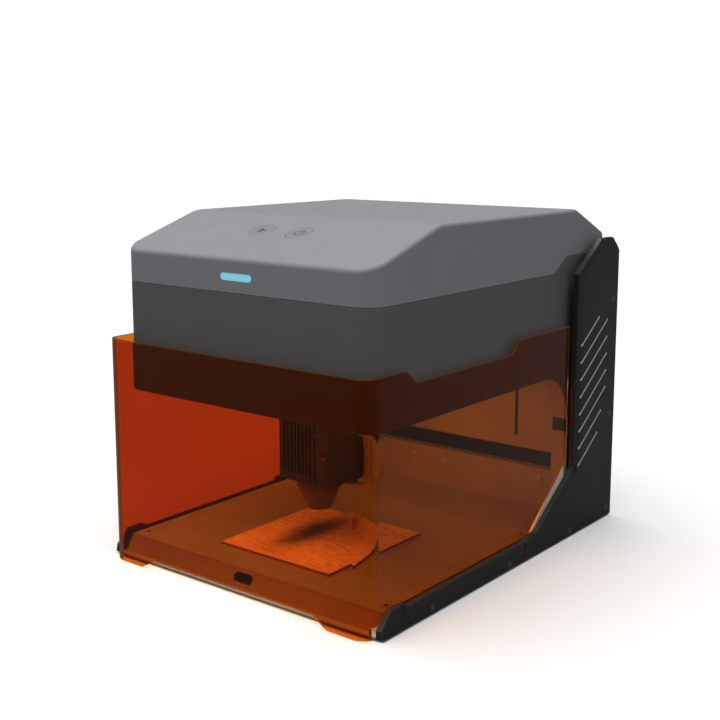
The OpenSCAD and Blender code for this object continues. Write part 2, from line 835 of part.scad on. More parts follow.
// Diode module and focusing lens, sealed in the bore of the heatsink.
module laser_core() {
    color("#c9a74a") translate([head_x, nozzle_y, head_bottom + 27]) cylinder(r = 7.95, h = 17);
    color("#bcd4e6") translate([head_x, nozzle_y, head_bottom + 8]) cylinder(r = 7.95, h = 3);
}

module head_fan_frame() {
    color("#1d1d1e") translate([head_x, -85, head_top]) fan_frame(30, 10, 14, 24, 1.6);
}

module head_fan_rotor() {
    color("#2c2c2e") translate([head_x, -85, head_top]) fan_rotor(9.6, 13.2, 7);
}

// Hollow cone that shields the beam, with a round outlet in its tip.
module nozzle() {
    collar = 6;
    color("#5b5046") translate([head_x, nozzle_y, nozzle_tip_z]) difference() {
        rotate_extrude() polygon([
            [0, 0], [tip_r - 1, 0], [tip_r, 1], [nozzle_r, head_bottom - nozzle_tip_z - collar],
            [nozzle_r, head_bottom - nozzle_tip_z], [0, head_bottom - nozzle_tip_z]
        ]);
        rotate_extrude() polygon([
            [0, 2], [tip_r - 2.4, 2], [nozzle_r - 2.4, head_bottom - nozzle_tip_z - collar],
            [nozzle_r - 2.4, 40], [0, 40]
        ]);
        translate([0, 0, -1]) cylinder(r = 4, h = 5);
        translate([0, air_y - nozzle_y, air_z - nozzle_tip_z]) rod_along_x(2.06, 7, 30);
    }
}

// Bracket, fitting and tube that bring assist air down to the port in the collar of the nozzle.
module air_line() {
    y = air_y;
    tube_z = air_z;
    end_x = 56;
    port_x = sqrt(pow(nozzle_r, 2) - pow(air_y - nozzle_y, 2)) + 0.23;
    color("#5a5b5e") {
        box([head_right, y - 3.5, 118.5], [end_x + 4, y + 3, 123]);
        translate([45, y, 109]) cylinder(r = 3, h = 9.5);
        translate([45, y, 105.5]) cylinder(r = 2, h = 3.5);
    }
    color("#b9babd") {
        translate([end_x, y, tube_z + 8]) cylinder(r = 2, h = 118.5 - tube_z - 8);
        translate([end_x - 8, y, tube_z + 8]) rotate([90, 90, 0]) rotate_extrude(angle = 90)
            translate([8, 0]) circle(2);
        translate([0, y, tube_z]) rod_along_x(2, head_x + port_x, end_x - 8);
    }
}

// Swing-down focus gauge on its pivot screw; the lever hangs to just above the sheet when turned down.
module focus_lever() {
    color("#9a9b9e") translate([lever_x, head_front - 0.4, lever_z]) rotate([90, 0, 0]) difference() {
        union() {
            translate([-4, 0, 0]) cube([8, 80.4, 2.5]);
            translate([0, 80.4, 0]) cylinder(r = 4, h = 2.5);
            translate([-4, -12, 0]) cube([8, 12, 2.5]);
            translate([0, -12, 0]) cylinder(r = 4, h = 2.5);
        }
        translate([0, 0, -1]) cylinder(r = 2.05, h = 5);
    }
}

module head_screws() {
    color("#c8c9cb") {
        translate([14, head_front, 122.5]) rotate([90, 0, 0]) dome_screw(2.6, 1.5, 5);
        translate([lever_x, head_front - 3, lever_z]) rotate([90, 0, 0]) dome_screw(3.2, 1.5, 8);
        translate([lever_x, head_front, lever_z]) rotate([90, 0, 0]) cylinder(r = 2, h = 3);
    }
}

// Thumbscrew that locks the focus slide.
module focus_knob() {
    color("#1b1b1c") translate([head_x, -53, 170]) {
        rod_along_x(2, 14, 27.2);
        rod_along_x(6, 27.2, 35);
    }
}

// ---------- cover ----------

module cover_profile() {
    polygon([
        [y_front - 1, 0.2], [-188, 0.2], [-188, cover_z], [33.1, cover_z], [112.5, 74], [112.5, cover_top],
        [21.1, cover_top], [8, cover_top - 11.5], [-132.5, cover_top - 11.5], [-145.9, cover_top],
        [y_front - 1, cover_top]
    ]);
}

module cover() {
    color([0.85, 0.36, 0.08, 0.45]) difference() {
        intersection() {
            linear_extrude(250) difference() {
                plan(cover_out, y_front, 113, cover_bend_r);
                plan(cover_in, y_front + cover_t, 120, cover_bend_r - cover_t);
            }
            along_x(-200, 200) cover_profile();
        }
        along_y(y_front - 5, -185) polygon([[-110, -1], [-92, 8.8], [92, 8.8], [110, -1]]);
    }
}

rubber_feet();
base_plate();
frame_bars();
work_bed();
bed_screws();
sample_sheet();
left_side_plate();
right_side_plate();
accent_lines();
plate_screws();
back_panel();
back_screws();
left_leg_cover();
right_leg_cover();
interlock_sensors();
rear_beam();
beam_screws();
rear_wall();
exhaust_fan_frame();
exhaust_fan_rotor();
dc_inlet();
usb_port();
power_switch();
power_rocker();
lower_housing();
upper_housing();
bottom_panel();
status_light();
play_button();
power_button();
button_board();
control_board();
board_standoffs();
y_rods();
y_rod_brackets();
y_belts();
y_idlers();
y_axle_brackets();
y_motor();
y_motor_mount();
y_drive_shaft();
gantry_beam();
x_rail();
x_belt();
x_idler();
x_idler_bolt();
x_motor();
x_motor_pulley();
carriage();
laser_bracket();
laser_heatsink();
laser_core();
head_fan_frame();
head_fan_rotor();
nozzle();
air_line();
focus_lever();
focus_knob();
head_screws();
cover();
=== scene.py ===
"""Desktop laser cutter: the visible pieces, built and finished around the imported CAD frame.

Sizes are in millimetres in the part's own frame (+X right, +Y back, +Z up) and are turned
into metres by the workbench helpers.
"""
import json
import logging
import math
from contextlib import contextmanager
from dataclasses import dataclass
from enum import Enum
from typing import Callable, Iterator, Sequence

import bmesh
import bpy
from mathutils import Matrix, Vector

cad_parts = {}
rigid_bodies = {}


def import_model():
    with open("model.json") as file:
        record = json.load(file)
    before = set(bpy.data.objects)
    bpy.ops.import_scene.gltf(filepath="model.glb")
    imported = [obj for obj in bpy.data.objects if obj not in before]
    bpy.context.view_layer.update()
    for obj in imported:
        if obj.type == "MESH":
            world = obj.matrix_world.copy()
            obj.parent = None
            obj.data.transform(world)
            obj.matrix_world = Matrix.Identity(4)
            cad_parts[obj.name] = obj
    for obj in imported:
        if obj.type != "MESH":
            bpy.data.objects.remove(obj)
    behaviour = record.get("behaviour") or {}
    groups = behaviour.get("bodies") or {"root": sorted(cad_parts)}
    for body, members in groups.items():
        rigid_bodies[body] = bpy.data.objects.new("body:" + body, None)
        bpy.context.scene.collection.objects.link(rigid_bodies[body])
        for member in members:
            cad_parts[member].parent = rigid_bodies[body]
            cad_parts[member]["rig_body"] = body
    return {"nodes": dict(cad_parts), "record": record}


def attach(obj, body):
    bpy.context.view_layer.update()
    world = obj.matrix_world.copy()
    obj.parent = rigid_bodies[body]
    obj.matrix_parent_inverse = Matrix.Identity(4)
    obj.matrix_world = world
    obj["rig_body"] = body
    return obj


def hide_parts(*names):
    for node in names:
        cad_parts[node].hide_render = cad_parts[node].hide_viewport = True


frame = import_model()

LOG = logging.getLogger("laser_cutter")
MM = 0.001
ALONG = 0.99  # how nearly a unit direction must lie along an axis to count as along it
NEAR = 0.1  # how close in millimetres an edge's middle must be to a line to count as on it
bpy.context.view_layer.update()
NODE_BODY = {name: obj["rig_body"] for name, obj in frame["nodes"].items()}
NODE_SLOT = {row["node"]: row["material_slot"] for row in frame["record"]["subparts"]}

Point = Sequence[float]
FaceTest = Callable[[bmesh.types.BMFace], bool]
EdgeTest = Callable[[bmesh.types.BMEdge], bool]
Value = object
Socket = bpy.types.NodeSocket


class Axis(Enum):
    """The three directions of the part's frame."""

    X = (1.0, 0.0, 0.0)
    Y = (0.0, 1.0, 0.0)
    Z = (0.0, 0.0, 1.0)

    @property
    def turn(self) -> tuple[float, float, float]:
        """Euler turn that lays a shape standing on Z along this axis."""
        return {"X": (0.0, math.pi / 2, 0.0), "Y": (-math.pi / 2, 0.0, 0.0),
                "Z": (0.0, 0.0, 0.0)}[self.name]


# ---------- workbench ----------

def clear_selection() -> None:
    """Deselect every object, so that the next operator acts on its own piece only."""
    bpy.ops.object.select_all(action="DESELECT")


def mid(edge: bmesh.types.BMEdge) -> Vector:
    """Middle of an edge in millimetres."""
    return (edge.verts[0].co + edge.verts[1].co) / 2 / MM


def run(edge: bmesh.types.BMEdge) -> Vector:
    """Unit direction of an edge."""
    return (edge.verts[1].co - edge.verts[0].co).normalized()


class Workpiece:
    """A mesh on the bench, started from a primitive and shaped by operators and modifiers."""

    def __init__(self, obj: bpy.types.Object) -> None:
        """Take hold of the mesh object to work on."""
        self.obj = obj

    @classmethod
    def adopt(cls, name: str) -> "Workpiece":
        """Name the object that an operator has just added and put its origin at zero.

        Args:
            name: the piece's name.

        Returns:
            The workpiece.
        """
        obj = bpy.context.object
        obj.name = name
        obj.data.name = name
        bpy.ops.object.transform_apply(location=True, rotation=True, scale=True)
        return cls(obj)

    @classmethod
    def box(cls, name: str, low: Point, high: Point) -> "Workpiece":
        """Start from a block between its lowest and its highest corner."""
        low, high = Vector(low), Vector(high)
        clear_selection()
        bpy.ops.mesh.primitive_cube_add(size=1.0, location=(low + high) / 2 * MM,
                                        scale=(high - low) * MM)
        return cls.adopt(name)

    @classmethod
    def disc(cls, name: str, centre: Point, radius: float, depth: float, axis: Axis = Axis.Z,
             sides: int = 48) -> "Workpiece":
        """Start from a round bar of a radius and length, centred on a point."""
        clear_selection()
        bpy.ops.mesh.primitive_cylinder_add(vertices=sides, radius=radius * MM, depth=depth * MM,
                                            location=Vector(centre) * MM, rotation=axis.turn)
        return cls.adopt(name)

    @classmethod
    def outline(cls, name: str, points: Sequence[Point], sweep: Point = (0, 0, 0),
                closed: bool = True) -> "Workpiece":
        """Draw an outline by extruding one vertex from point to point, then fill and sweep it.

        Args:
            name: the piece's name.
            points: the corners in order.
            sweep: how far the finished outline is extruded.
            closed: whether the outline is closed and filled before the sweep.

        Returns:
            The workpiece.
        """
        clear_selection()
        bpy.ops.mesh.primitive_plane_add(size=MM, location=Vector(points[0]) * MM)
        piece = cls.adopt(name)
        with piece.editing(whole=True):
            bpy.ops.mesh.merge(type="CENTER")
            for start, end in zip(points, points[1:]):
                piece._extrude(Vector(end) - Vector(start))
            bpy.ops.mesh.select_all(action="SELECT")
            if closed:
                bpy.ops.mesh.edge_face_add()
            if Vector(sweep).length > 0:
                piece._extrude(sweep)
                bpy.ops.mesh.select_all(action="SELECT")
                bpy.ops.mesh.normals_make_consistent(inside=False)
        return piece

    @classmethod
    def of_node(cls, node: str, name: str) -> "Workpiece":
        """Copy a CAD node's mesh and merge its loose triangles into clean flat faces.

        Args:
            node: the CAD node's name.
            name: the new piece's name.

        Returns:
            The workpiece.
        """
        clear_selection()
        source = frame["nodes"][node]
        obj = bpy.data.objects.new(name, source.data.copy())
        bpy.context.scene.collection.objects.link(obj)
        obj.data.materials.clear()
        piece = cls(obj)
        with piece.editing(whole=True):
            bpy.ops.mesh.remove_doubles(threshold=0.002 * MM)
            bpy.ops.mesh.dissolve_limited(angle_limit=math.radians(0.6))
        piece.activate()
        bpy.ops.mesh.customdata_custom_splitnormals_clear()
        return piece

    def activate(self) -> None:
        """Make this the only selected and active object."""
        clear_selection()
        self.obj.select_set(True)
        bpy.context.view_layer.objects.active = self.obj

    @contextmanager
    def editing(self, whole: bool = False) -> Iterator[None]:
        """Work in edit mode, with nothing or the whole mesh selected at first."""
        self.activate()
        bpy.ops.object.mode_set(mode="EDIT")
        bpy.ops.mesh.select_mode(type="VERT")
        bpy.ops.mesh.select_all(action="SELECT" if whole else "DESELECT")
        yield
        bpy.ops.object.mode_set(mode="OBJECT")

    @staticmethod
    def _extrude(move: Point) -> None:
        """Extrude the selection by a move in millimetres."""
        bpy.ops.mesh.extrude_region_move(TRANSFORM_OT_translate={"value": Vector(move) * MM})

    def _pick(self, mode: str, test: Callable[[object], bool]) -> int:
        """Select the faces or edges that pass a test.

        Args:
            mode: "FACE" or "EDGE".
            test: the test.

        Returns:
            How many were selected.
        """
        bpy.ops.mesh.select_mode(type=mode)
        mesh = bmesh.from_edit_mesh(self.obj.data)
        mesh.normal_update()
        chosen = [part for part in (mesh.faces if mode == "FACE" else mesh.edges) if test(part)]
        for part in chosen:
            part.select_set(True)
        mesh.select_flush_mode()
        bmesh.update_edit_mesh(self.obj.data)
        return len(chosen)

    def bevel(self, width: float, segments: int, test: EdgeTest) -> "Workpiece":
        """Round the edges that pass a test by a width, with so many facets."""
        with self.editing():
            if self._pick("EDGE", test):
                bpy.ops.mesh.bevel(offset=width * MM, segments=segments, affect="EDGES",
                                   clamp_overlap=True)
        return self

    def extrude(self, test: FaceTest, move: Point) -> "Workpiece":
        """Extrude the faces that pass a test by a move."""
        with self.editing():
            if self._pick("FACE", test):
                self._extrude(move)
        return self

    def inset(self, test: FaceTest, border: float, depth: float = 0.0) -> "Workpiece":
        """Inset the faces that pass a test by a border, and raise the inside by a depth."""
        with self.editing():
            if self._pick("FACE", test):
                bpy.ops.mesh.inset(thickness=border * MM, depth=depth * MM)
        return self

    def delete(self, test: FaceTest) -> "Workpiece":
        """Delete the faces that pass a test."""
        with self.editing():
            if self._pick("FACE", test):
                bpy.ops.mesh.delete(type="FACE")
        return self

    def bisect(self, point: Point, normal: Point, trim: bool = True) -> "Workpiece":
        """Cut along a plane; a trim removes the side its normal points to and closes the cut."""
        with self.editing(whole=True):
            bpy.ops.mesh.bisect(plane_co=Vector(point) * MM, plane_no=Vector(normal), use_fill=trim,
                                clear_outer=trim)
        return self

    def spin(self, centre: Point, steps: int = 48, axis: Axis = Axis.Z) -> "Workpiece":
        """Turn the whole outline once round an axis and close the seam.

        Args:
            centre: a point on the axis.
            steps: number of facets round.
            axis: the axis.

        Returns:
            This workpiece.
        """
        with self.editing(whole=True):
            bpy.ops.mesh.spin(steps=steps, angle=2 * math.pi, center=Vector(centre) * MM,
                              axis=axis.value)
            bpy.ops.mesh.select_all(action="SELECT")
            bpy.ops.mesh.remove_doubles(threshold=0.005 * MM)
            bpy.ops.mesh.normals_make_consistent(inside=False)
        return self

    def modify(self, kind: str, **settings: Value) -> "Workpiece":
        """Add a modifier, set it and apply it.

        Args:
            kind: the modifier's type.
            **settings: its properties.

        Returns:
            This workpiece.
        """
        self.activate()
        modifier = self.obj.modifiers.new(kind.lower(), kind)
        for key, value in settings.items():
            setattr(modifier, key, value)
        bpy.ops.object.modifier_apply(modifier=modifier.name)
        return self

    def carve(self, *cutters: "Workpiece") -> "Workpiece":
        """Cut other pieces out of this one and throw them away.

        Args:
            *cutters: the closed shapes to take out.

        Returns:
            This workpiece.
        """
        for cutter in cutters:
            self.modify("BOOLEAN", operation="DIFFERENCE", solver="EXACT", object=cutter.obj)
            bpy.data.objects.remove(cutter.obj)
        return self

    def soften(self, width: float, segments: int = 2, angle: float = 32.0) -> "Workpiece":
        """Round every edge sharper than an angle in degrees."""
        return self.modify("BEVEL", width=width * MM, segments=segments, limit_method="ANGLE",
                           angle_limit=math.radians(angle), use_clamp_overlap=True,
                           harden_normals=False,
                           miter_outer="MITER_ARC")

    def smooth(self, angle: float = 35.0) -> "Workpiece":
        """Shade smooth below an angle in degrees, with normals that keep large faces flat."""
        self.activate()
        bpy.ops.object.shade_smooth_by_angle(angle=math.radians(angle))
        return self.modify("WEIGHTED_NORMAL", mode="FACE_AREA", weight=50, keep_sharp=True)

    def tilt(self, angle: float, centre: Point) -> "Workpiece":
        """Turn the mesh about a line along X, front edge down for a positive angle in degrees."""
        with self.editing(whole=True):
            bpy.ops.transform.rotate(value=-math.radians(angle), orient_axis="X",
                                     center_override=Vector(centre) * MM)
        return self

    def dress(self, *materials: bpy.types.Material) -> "Workpiece":
        """Give the piece its materials, the first one all over."""
        self.obj.data.materials.clear()
        for material in materials:
            self.obj.data.materials.append(material)
        return self

    def paint(self, slot: int, test: Callable[[bpy.types.MeshPolygon], bool]) -> "Workpiece":
        """Give the faces that pass a test the material in another slot."""
        for polygon in self.obj.data.polygons:
            if test(polygon):
                polygon.material_index = slot
        return self

    def install(self, body: str, slot: str, *nodes: str) -> "Workpiece":
        """Fit the piece to its body, in place of the CAD nodes it stands for.

        Args:
            body: the body it rides on.
            slot: the record's material slot; not used.
            *nodes: the CAD nodes it replaces.

        Returns:
            This workpiece.
        """
        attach(self.obj, body)
        if nodes:
            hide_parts(*nodes)
        LOG.info("fitted %s on %s", self.obj.name, body)
        return self


# ---------- node trees ----------

class Net:
    """A shader node tree in work."""

    def __init__(self, tree: bpy.types.NodeTree) -> None:
        """Take hold of a node tree."""
        self.tree = tree

    def add(self, kind: str, sockets: dict | None = None, **settings: Value) -> bpy.types.Node:
        """Add a node, set its properties and fill or link its inputs.

        Args:
            kind: the node's type without its "ShaderNode" prefix.
            sockets: input name or number to a value or an output socket.
            **settings: the node's own properties.

        Returns:
            The node.
        """
        node = self.tree.nodes.new(kind if kind.startswith("NodeGroup") else "ShaderNode" + kind)
        for key, value in settings.items():
            setattr(node, key, value)
        for key, value in (sockets or {}).items():
            if isinstance(value, bpy.types.Node):
                value = value.outputs[0]
            if isinstance(value, Socket):
                self.tree.links.new(value, node.inputs[key])
            else:
                node.inputs[key].default_value = value
        return node

    def math(self, operation: str, a: Value, b: Value = 0.0,
             clamp: bool = False) -> Socket:
        """Join two numbers or sockets by a math operation."""
        return self.add("Math", {0: a, 1: b}, operation=operation, use_clamp=clamp).outputs[0]

    def plus(self, a: Value, b: Value) -> Socket:
        """Add two numbers or sockets."""
        return self.math("ADD", a, b)

    def times(self, a: Value, b: Value) -> Socket:
        """Multiply two numbers or sockets."""
        return self.math("MULTIPLY", a, b)

    def remap(self, value: Value, low: float, high: float, to_low: float = 0.0,
              to_high: float = 1.0) -> Socket:
        """Stretch a number smoothly from one range to another."""
        node = self.add("MapRange", {0: value, 1: low, 2: high, 3: to_low, 4: to_high},
                        interpolation_type="SMOOTHSTEP")
        return node.outputs[0]

    def mix(self, factor: Value, a: Value, b: Value) -> Socket:
        """Mix two colours by the share of the second."""
        return self.add("Mix", {0: factor, 6: a, 7: b}, data_type="RGBA").outputs[2]

    def noise(self, vector: Value, scale: float, detail: float = 3.0,
              roughness: float = 0.55) -> Socket:
        """Add a noise with its scale, octaves and the strength of the fine ones."""
        return self.add("TexNoise", {"Vector": vector, "Scale": scale, "Detail": detail,
                                     "Roughness": roughness}).outputs[0]

    def place(self, move: Point = (0, 0, 0)) -> Socket:
        """Read the object's own coordinates from a point in millimetres."""
        source = self.add("TexCoord").outputs["Object"]
        return self.add("Mapping", {"Vector": source, "Location": [v * MM for v in move]},
                        vector_type="TEXTURE").outputs[0]

    def group(self, tree: bpy.types.NodeTree, sockets: dict) -> bpy.types.Node:
        """Place a shared node group and fill or link its inputs."""
        return self.add("Group", sockets, node_tree=tree)

    def mask(self, tree: bpy.types.NodeTree, place: Socket, **sockets: float) -> Socket:
        """Place a shared group that makes a mask, and give its mask."""
        return self.group(tree, {"Vector": place, **sockets}).outputs["Mask"]

    def direct(self) -> Socket:
        """Whether a surroundings' ray is looked along, straight or through clear sheets only."""
        path = self.add("LightPath").outputs
        clear = self.math("MAXIMUM", path["Is Camera Ray"], path["Is Transmission Ray"])
        bounces = self.plus(path["Diffuse Depth"], path["Glossy Depth"])
        return self.times(clear, self.math("LESS_THAN", bounces, 0.5))

    def relief(self, height: Value, depth: float) -> Socket:
        """Turn a height from 0 to 1 into a normal bumped by a depth in millimetres."""
        return self.add("Bump", {"Strength": 1.0, "Distance": depth * MM,
                                 "Height": height}).outputs[0]


def hexed(code: str) -> tuple[float, float, float, float]:
    """Turn the six digits of a screen colour into a linear one."""
    parts = [int(code[i:i + 2], 16) / 255 for i in (0, 2, 4)]
    return (*[p / 12.92 if p <= 0.04045 else ((p + 0.055) / 1.055) ** 2.4 for p in parts], 1.0)


def shade(colour: Point, share: float) -> tuple[float, float, float, float]:
    """Make a colour lighter or darker by a share."""
    return (*[min(1.0, c * share) for c in colour[:3]], 1.0)


class Effects:
    """Shader node groups that several finishes share, each built once."""

    def __init__(self) -> None:
        """Build every group."""
        self.grain = self._grain()
        self.peel = self._peel()
        self.brushed = self._brushed()
        self.wear = self._wear()
        self.dust = self._dust()
        self.scratches = self._scratches()

    @staticmethod
    def _start(name: str, inputs: dict[str, float | None]) -> tuple[Net, dict]:
        """Make a group with named number inputs (None: a vector); give its net and inputs."""
        tree = bpy.data.node_groups.new(name, "ShaderNodeTree")
        for key, value in inputs.items():
            kind = "NodeSocketVector" if value is None else "NodeSocketFloat"
            socket = tree.interface.new_socket(key, in_out="INPUT", socket_type=kind)
            if value is not None:
                socket.default_value = value
        net = Net(tree)
        return net, {s.name: s for s in net.add("NodeGroupInput").outputs if s.name}

    @staticmethod
    def _close(net: Net, **results: Socket) -> bpy.types.NodeTree:
        """Give a group its named number outputs and return it."""
        for key in results:
            net.tree.interface.new_socket(key, in_out="OUTPUT", socket_type="NodeSocketFloat")
        net.add("NodeGroupOutput", results)
        return net.tree

    def _grain(self) -> bpy.types.NodeTree:
        """Spark-eroded mould grain: fine pits over a soft mottle."""
        net, given = self._start("mould_grain", {"Vector": None, "Scale": 2200.0, "Mottle": 40.0})
        pits = net.add("TexVoronoi", {"Vector": given["Vector"], "Scale": given["Scale"]},
                       feature="SMOOTH_F1")
        fine = net.noise(given["Vector"], 900.0, 4.0)
        mottle = net.noise(given["Vector"], given["Mottle"], 5.0, 0.6)
        height = net.plus(net.times(pits.outputs[0], 0.6), net.times(fine, 0.6))
        return self._close(net, Height=height, Tone=net.remap(mottle, 0.3, 0.7))

    def _peel(self) -> bpy.types.NodeTree:
        """Powder coat: an orange-peel swell with fine speckle."""
        net, given = self._start("coat_peel", {"Vector": None, "Scale": 600.0})
        swell = net.noise(given["Vector"], given["Scale"], 2.0, 0.4)
        speckle = net.noise(given["Vector"], 2600.0, 1.0, 0.5)
        height = net.plus(net.times(swell, 0.8), net.times(speckle, 0.25))
        return self._close(net, Height=height, Speckle=net.remap(speckle, 0.55, 0.75))

    def _brushed(self) -> bpy.types.NodeTree:
        """Brush lines along the pattern's stretched axis."""
        net, given = self._start("brush_lines", {"Vector": None, "Scale": 60.0})
        lines = net.noise(given["Vector"], given["Scale"], 6.0, 0.7)
        drift = net.noise(given["Vector"], 6.0, 2.0)
        tone = net.plus(net.times(lines, 0.7), net.times(drift, 0.3))
        return self._close(net, Height=lines, Tone=net.remap(tone, 0.3, 0.7))

    def _wear(self) -> bpy.types.NodeTree:
        """Mask of rubbed edges, broken up by noise; the powder coat also uses it for a painted
        highlight along its edges.
        """
        net, given = self._start("edge_wear", {"Vector": None, "Radius": 0.0006, "Gain": 3.0})
        rounded = net.add("Bevel", {"Radius": given["Radius"]}, samples=4).outputs[0]
        flat = net.add("NewGeometry").outputs["Normal"]
        turned = net.add("VectorMath", {0: rounded, 1: flat},
                         operation="DOT_PRODUCT").outputs["Value"]
        edge = net.math("MULTIPLY", net.math("SUBTRACT", 1.0, turned), given["Gain"], clamp=True)
        patchy = net.remap(net.noise(given["Vector"], 120.0, 5.0, 0.65), 0.4, 0.6, 0.25, 1.0)
        return self._close(net, Mask=net.math("MULTIPLY", edge, patchy, clamp=True))

    def _dust(self) -> bpy.types.NodeTree:
        """Mask of the thin film that settles on faces that look up."""
        net, given = self._start("dust_film", {"Vector": None, "Amount": 0.1})
        normal = net.add("NewGeometry").outputs["Normal"]
        up = net.remap(net.add("SeparateXYZ", {0: normal}).outputs["Z"], 0.4, 1.0)
        clouds = net.remap(net.noise(given["Vector"], 26.0, 6.0, 0.7), 0.35, 0.75, 0.2, 1.0)
        mask = net.math("MULTIPLY", net.times(up, clouds), given["Amount"], clamp=True)
        return self._close(net, Mask=mask)

    def _scratches(self) -> bpy.types.NodeTree:
        """Mask of sparse hairline scratches in two directions."""
        net, given = self._start("hairlines", {"Vector": None, "Scale": 14.0, "Amount": 1.0})
        total: Value = 0.0
        for turn, stretch in ((0.5, 24.0), (2.2, 30.0)):
            lay = net.add("Mapping", {"Vector": given["Vector"], "Rotation": (0.4, 0.3, turn),
                                      "Scale": (1.0, stretch, stretch)}).outputs[0]
            lines = net.remap(net.noise(lay, given["Scale"], 2.0, 0.5), 0.70, 0.74)
            total = net.plus(total, lines)
        return self._close(net, Mask=net.math("MULTIPLY", total, given["Amount"], clamp=True))


EFFECTS = Effects()


# ---------- finishes ----------

@dataclass(frozen=True)
class Finish:
    """A named finish; each kind lays out its own shader."""

    name: str

    def shader(self, net: Net) -> bpy.types.Node:
        """Lay out the shader in the material's net."""
        raise NotImplementedError

    def material(self) -> bpy.types.Material:
        """Build the material round the shader."""
        material = bpy.data.materials.new(self.name)
        material.use_nodes = True
        material.node_tree.nodes.clear()
        net = Net(material.node_tree)
        net.add("OutputMaterial", {0: self.shader(net)})
        return material


@dataclass(frozen=True)
class Moulded(Finish):
    """Injection-moulded plastic with a spark-eroded grain."""

    colour: tuple
    roughness: float = 0.55
    grain: float = 2200.0
    depth: float = 0.006
    dust: float = 0.015
    specular: float = 0.35

    def shader(self, net: Net) -> bpy.types.Node:
        """Lay out the shader."""
        place = net.place()
        grain = net.group(EFFECTS.grain, {"Vector": place, "Scale": self.grain})
        dust = net.mask(EFFECTS.dust, place, Amount=self.dust)
        wear = net.mask(EFFECTS.wear, place, Radius=0.5 * MM, Gain=1.2)
        tone = net.mix(grain.outputs["Tone"], shade(self.colour, 0.985), shade(self.colour, 1.015))
        rubbed = net.mix(net.times(wear, 0.3), tone, shade(self.colour, 1.25))
        colour = net.mix(dust, rubbed, hexed("B8B6B0"))
        rough = net.plus(net.times(grain.outputs["Tone"], 0.06), self.roughness - 0.03)
        return net.add("BsdfPrincipled", {
            "Base Color": colour, "Roughness": net.math("SUBTRACT", rough, net.times(wear, 0.12)),
            "Specular IOR Level": self.specular,
            "Normal": net.relief(grain.outputs["Height"], self.depth)})


@dataclass(frozen=True)
class Painted(Finish):
    """Powder-coated sheet metal with slightly rubbed edges, which are lightened partly as a painted
    highlight.
    """

    colour: tuple
    wear_and_highlight_colour: tuple
    roughness: float = 0.42
    peel: float = 600.0
    depth: float = 0.02
    wear: float = 0.6
    dust: float = 0.06

    def shader(self, net: Net) -> bpy.types.Node:
        """Lay out the shader."""
        place = net.place()
        peel = net.group(EFFECTS.peel, {"Vector": place, "Scale": self.peel})
        wear = net.mask(EFFECTS.wear, place, Radius=0.7 * MM, Gain=2.5)
        dust = net.mask(EFFECTS.dust, place, Amount=self.dust)
        hair = net.mask(EFFECTS.scratches, place, Amount=0.25)
        mottle = net.remap(net.noise(place, 18.0, 4.0), 0.3, 0.7)
        tone = net.mix(mottle, shade(self.colour, 0.93), shade(self.colour, 1.07))
        flecked = net.mix(net.times(peel.outputs["Speckle"], 0.25), tone, shade(self.colour, 1.8))
        # Edges lightened towards the pale edge colour: partly rubbed paint, partly a painted
        # highlight where the chamfers catch the light.
        rubbed = net.mix(net.times(wear, self.wear), flecked, self.wear_and_highlight_colour)
        colour = net.mix(dust, rubbed, hexed("AFACA6"))
        rough = net.plus(self.roughness - 0.04, net.times(mottle, 0.08))
        rough = net.plus(rough, net.times(hair, 0.15))
        return net.add("BsdfPrincipled", {
            "Base Color": colour, "Roughness": rough, "Specular IOR Level": 0.5,
            "Normal": net.relief(peel.outputs["Height"], self.depth)})


@dataclass(frozen=True)
class Metal(Finish):
    """Bare, brushed, turned, blasted or anodised metal."""

    colour: tuple
    roughness: float = 0.35
    stretch: tuple = (1.0, 12.0, 12.0)
    lines: float = 60.0
    depth: float = 0.006
    metallic: float = 1.0
    contrast: float = 0.12
    dust: float = 0.03

    def shader(self, net: Net) -> bpy.types.Node:
        """Lay out the shader."""
        place = net.place()
        lay = net.add("Mapping", {"Vector": place, "Scale": self.stretch}).outputs[0]
        brush = net.group(EFFECTS.brushed, {"Vector": lay, "Scale": self.lines})
        wear = net.mask(EFFECTS.wear, place, Radius=0.4 * MM, Gain=2.0)
        dust = net.mask(EFFECTS.dust, place, Amount=self.dust)
        hair = net.mask(EFFECTS.scratches, place, Amount=0.5)
        tone = net.mix(brush.outputs["Tone"], shade(self.colour, 1 - self.contrast),
                       shade(self.colour, 1 + self.contrast))
        bright = net.mix(net.times(wear, 0.5), tone, shade(self.colour, 1.5))
        colour = net.mix(dust, bright, hexed("A9A69F"))
        rough = net.plus(self.roughness - 0.06, net.times(brush.outputs["Tone"], 0.12))
        rough = net.plus(rough, net.times(hair, 0.12))
        return net.add("BsdfPrincipled", {
            "Base Color": colour, "Roughness": rough, "Metallic": self.metallic,
            "Normal": net.relief(brush.outputs["Height"], self.depth)})


@dataclass(frozen=True)
class Rubber(Finish):
    """Matt rubber with a dusty bloom."""

    colour: tuple
    roughness: float = 0.8

    def shader(self, net: Net) -> bpy.types.Node:
        """Lay out the shader."""
        place = net.place()
        grain = net.group(EFFECTS.grain, {"Vector": place, "Scale": 1500.0, "Mottle": 90.0})
        dust = net.mask(EFFECTS.dust, place, Amount=0.15)
        tone = net.mix(grain.outputs["Tone"], shade(self.colour, 0.8), shade(self.colour, 1.3))
        return net.add("BsdfPrincipled", {
            "Base Color": net.mix(dust, tone, hexed("7A7873")), "Roughness": self.roughness,
            "Specular IOR Level": 0.3, "Normal": net.relief(grain.outputs["Height"], 0.03)})


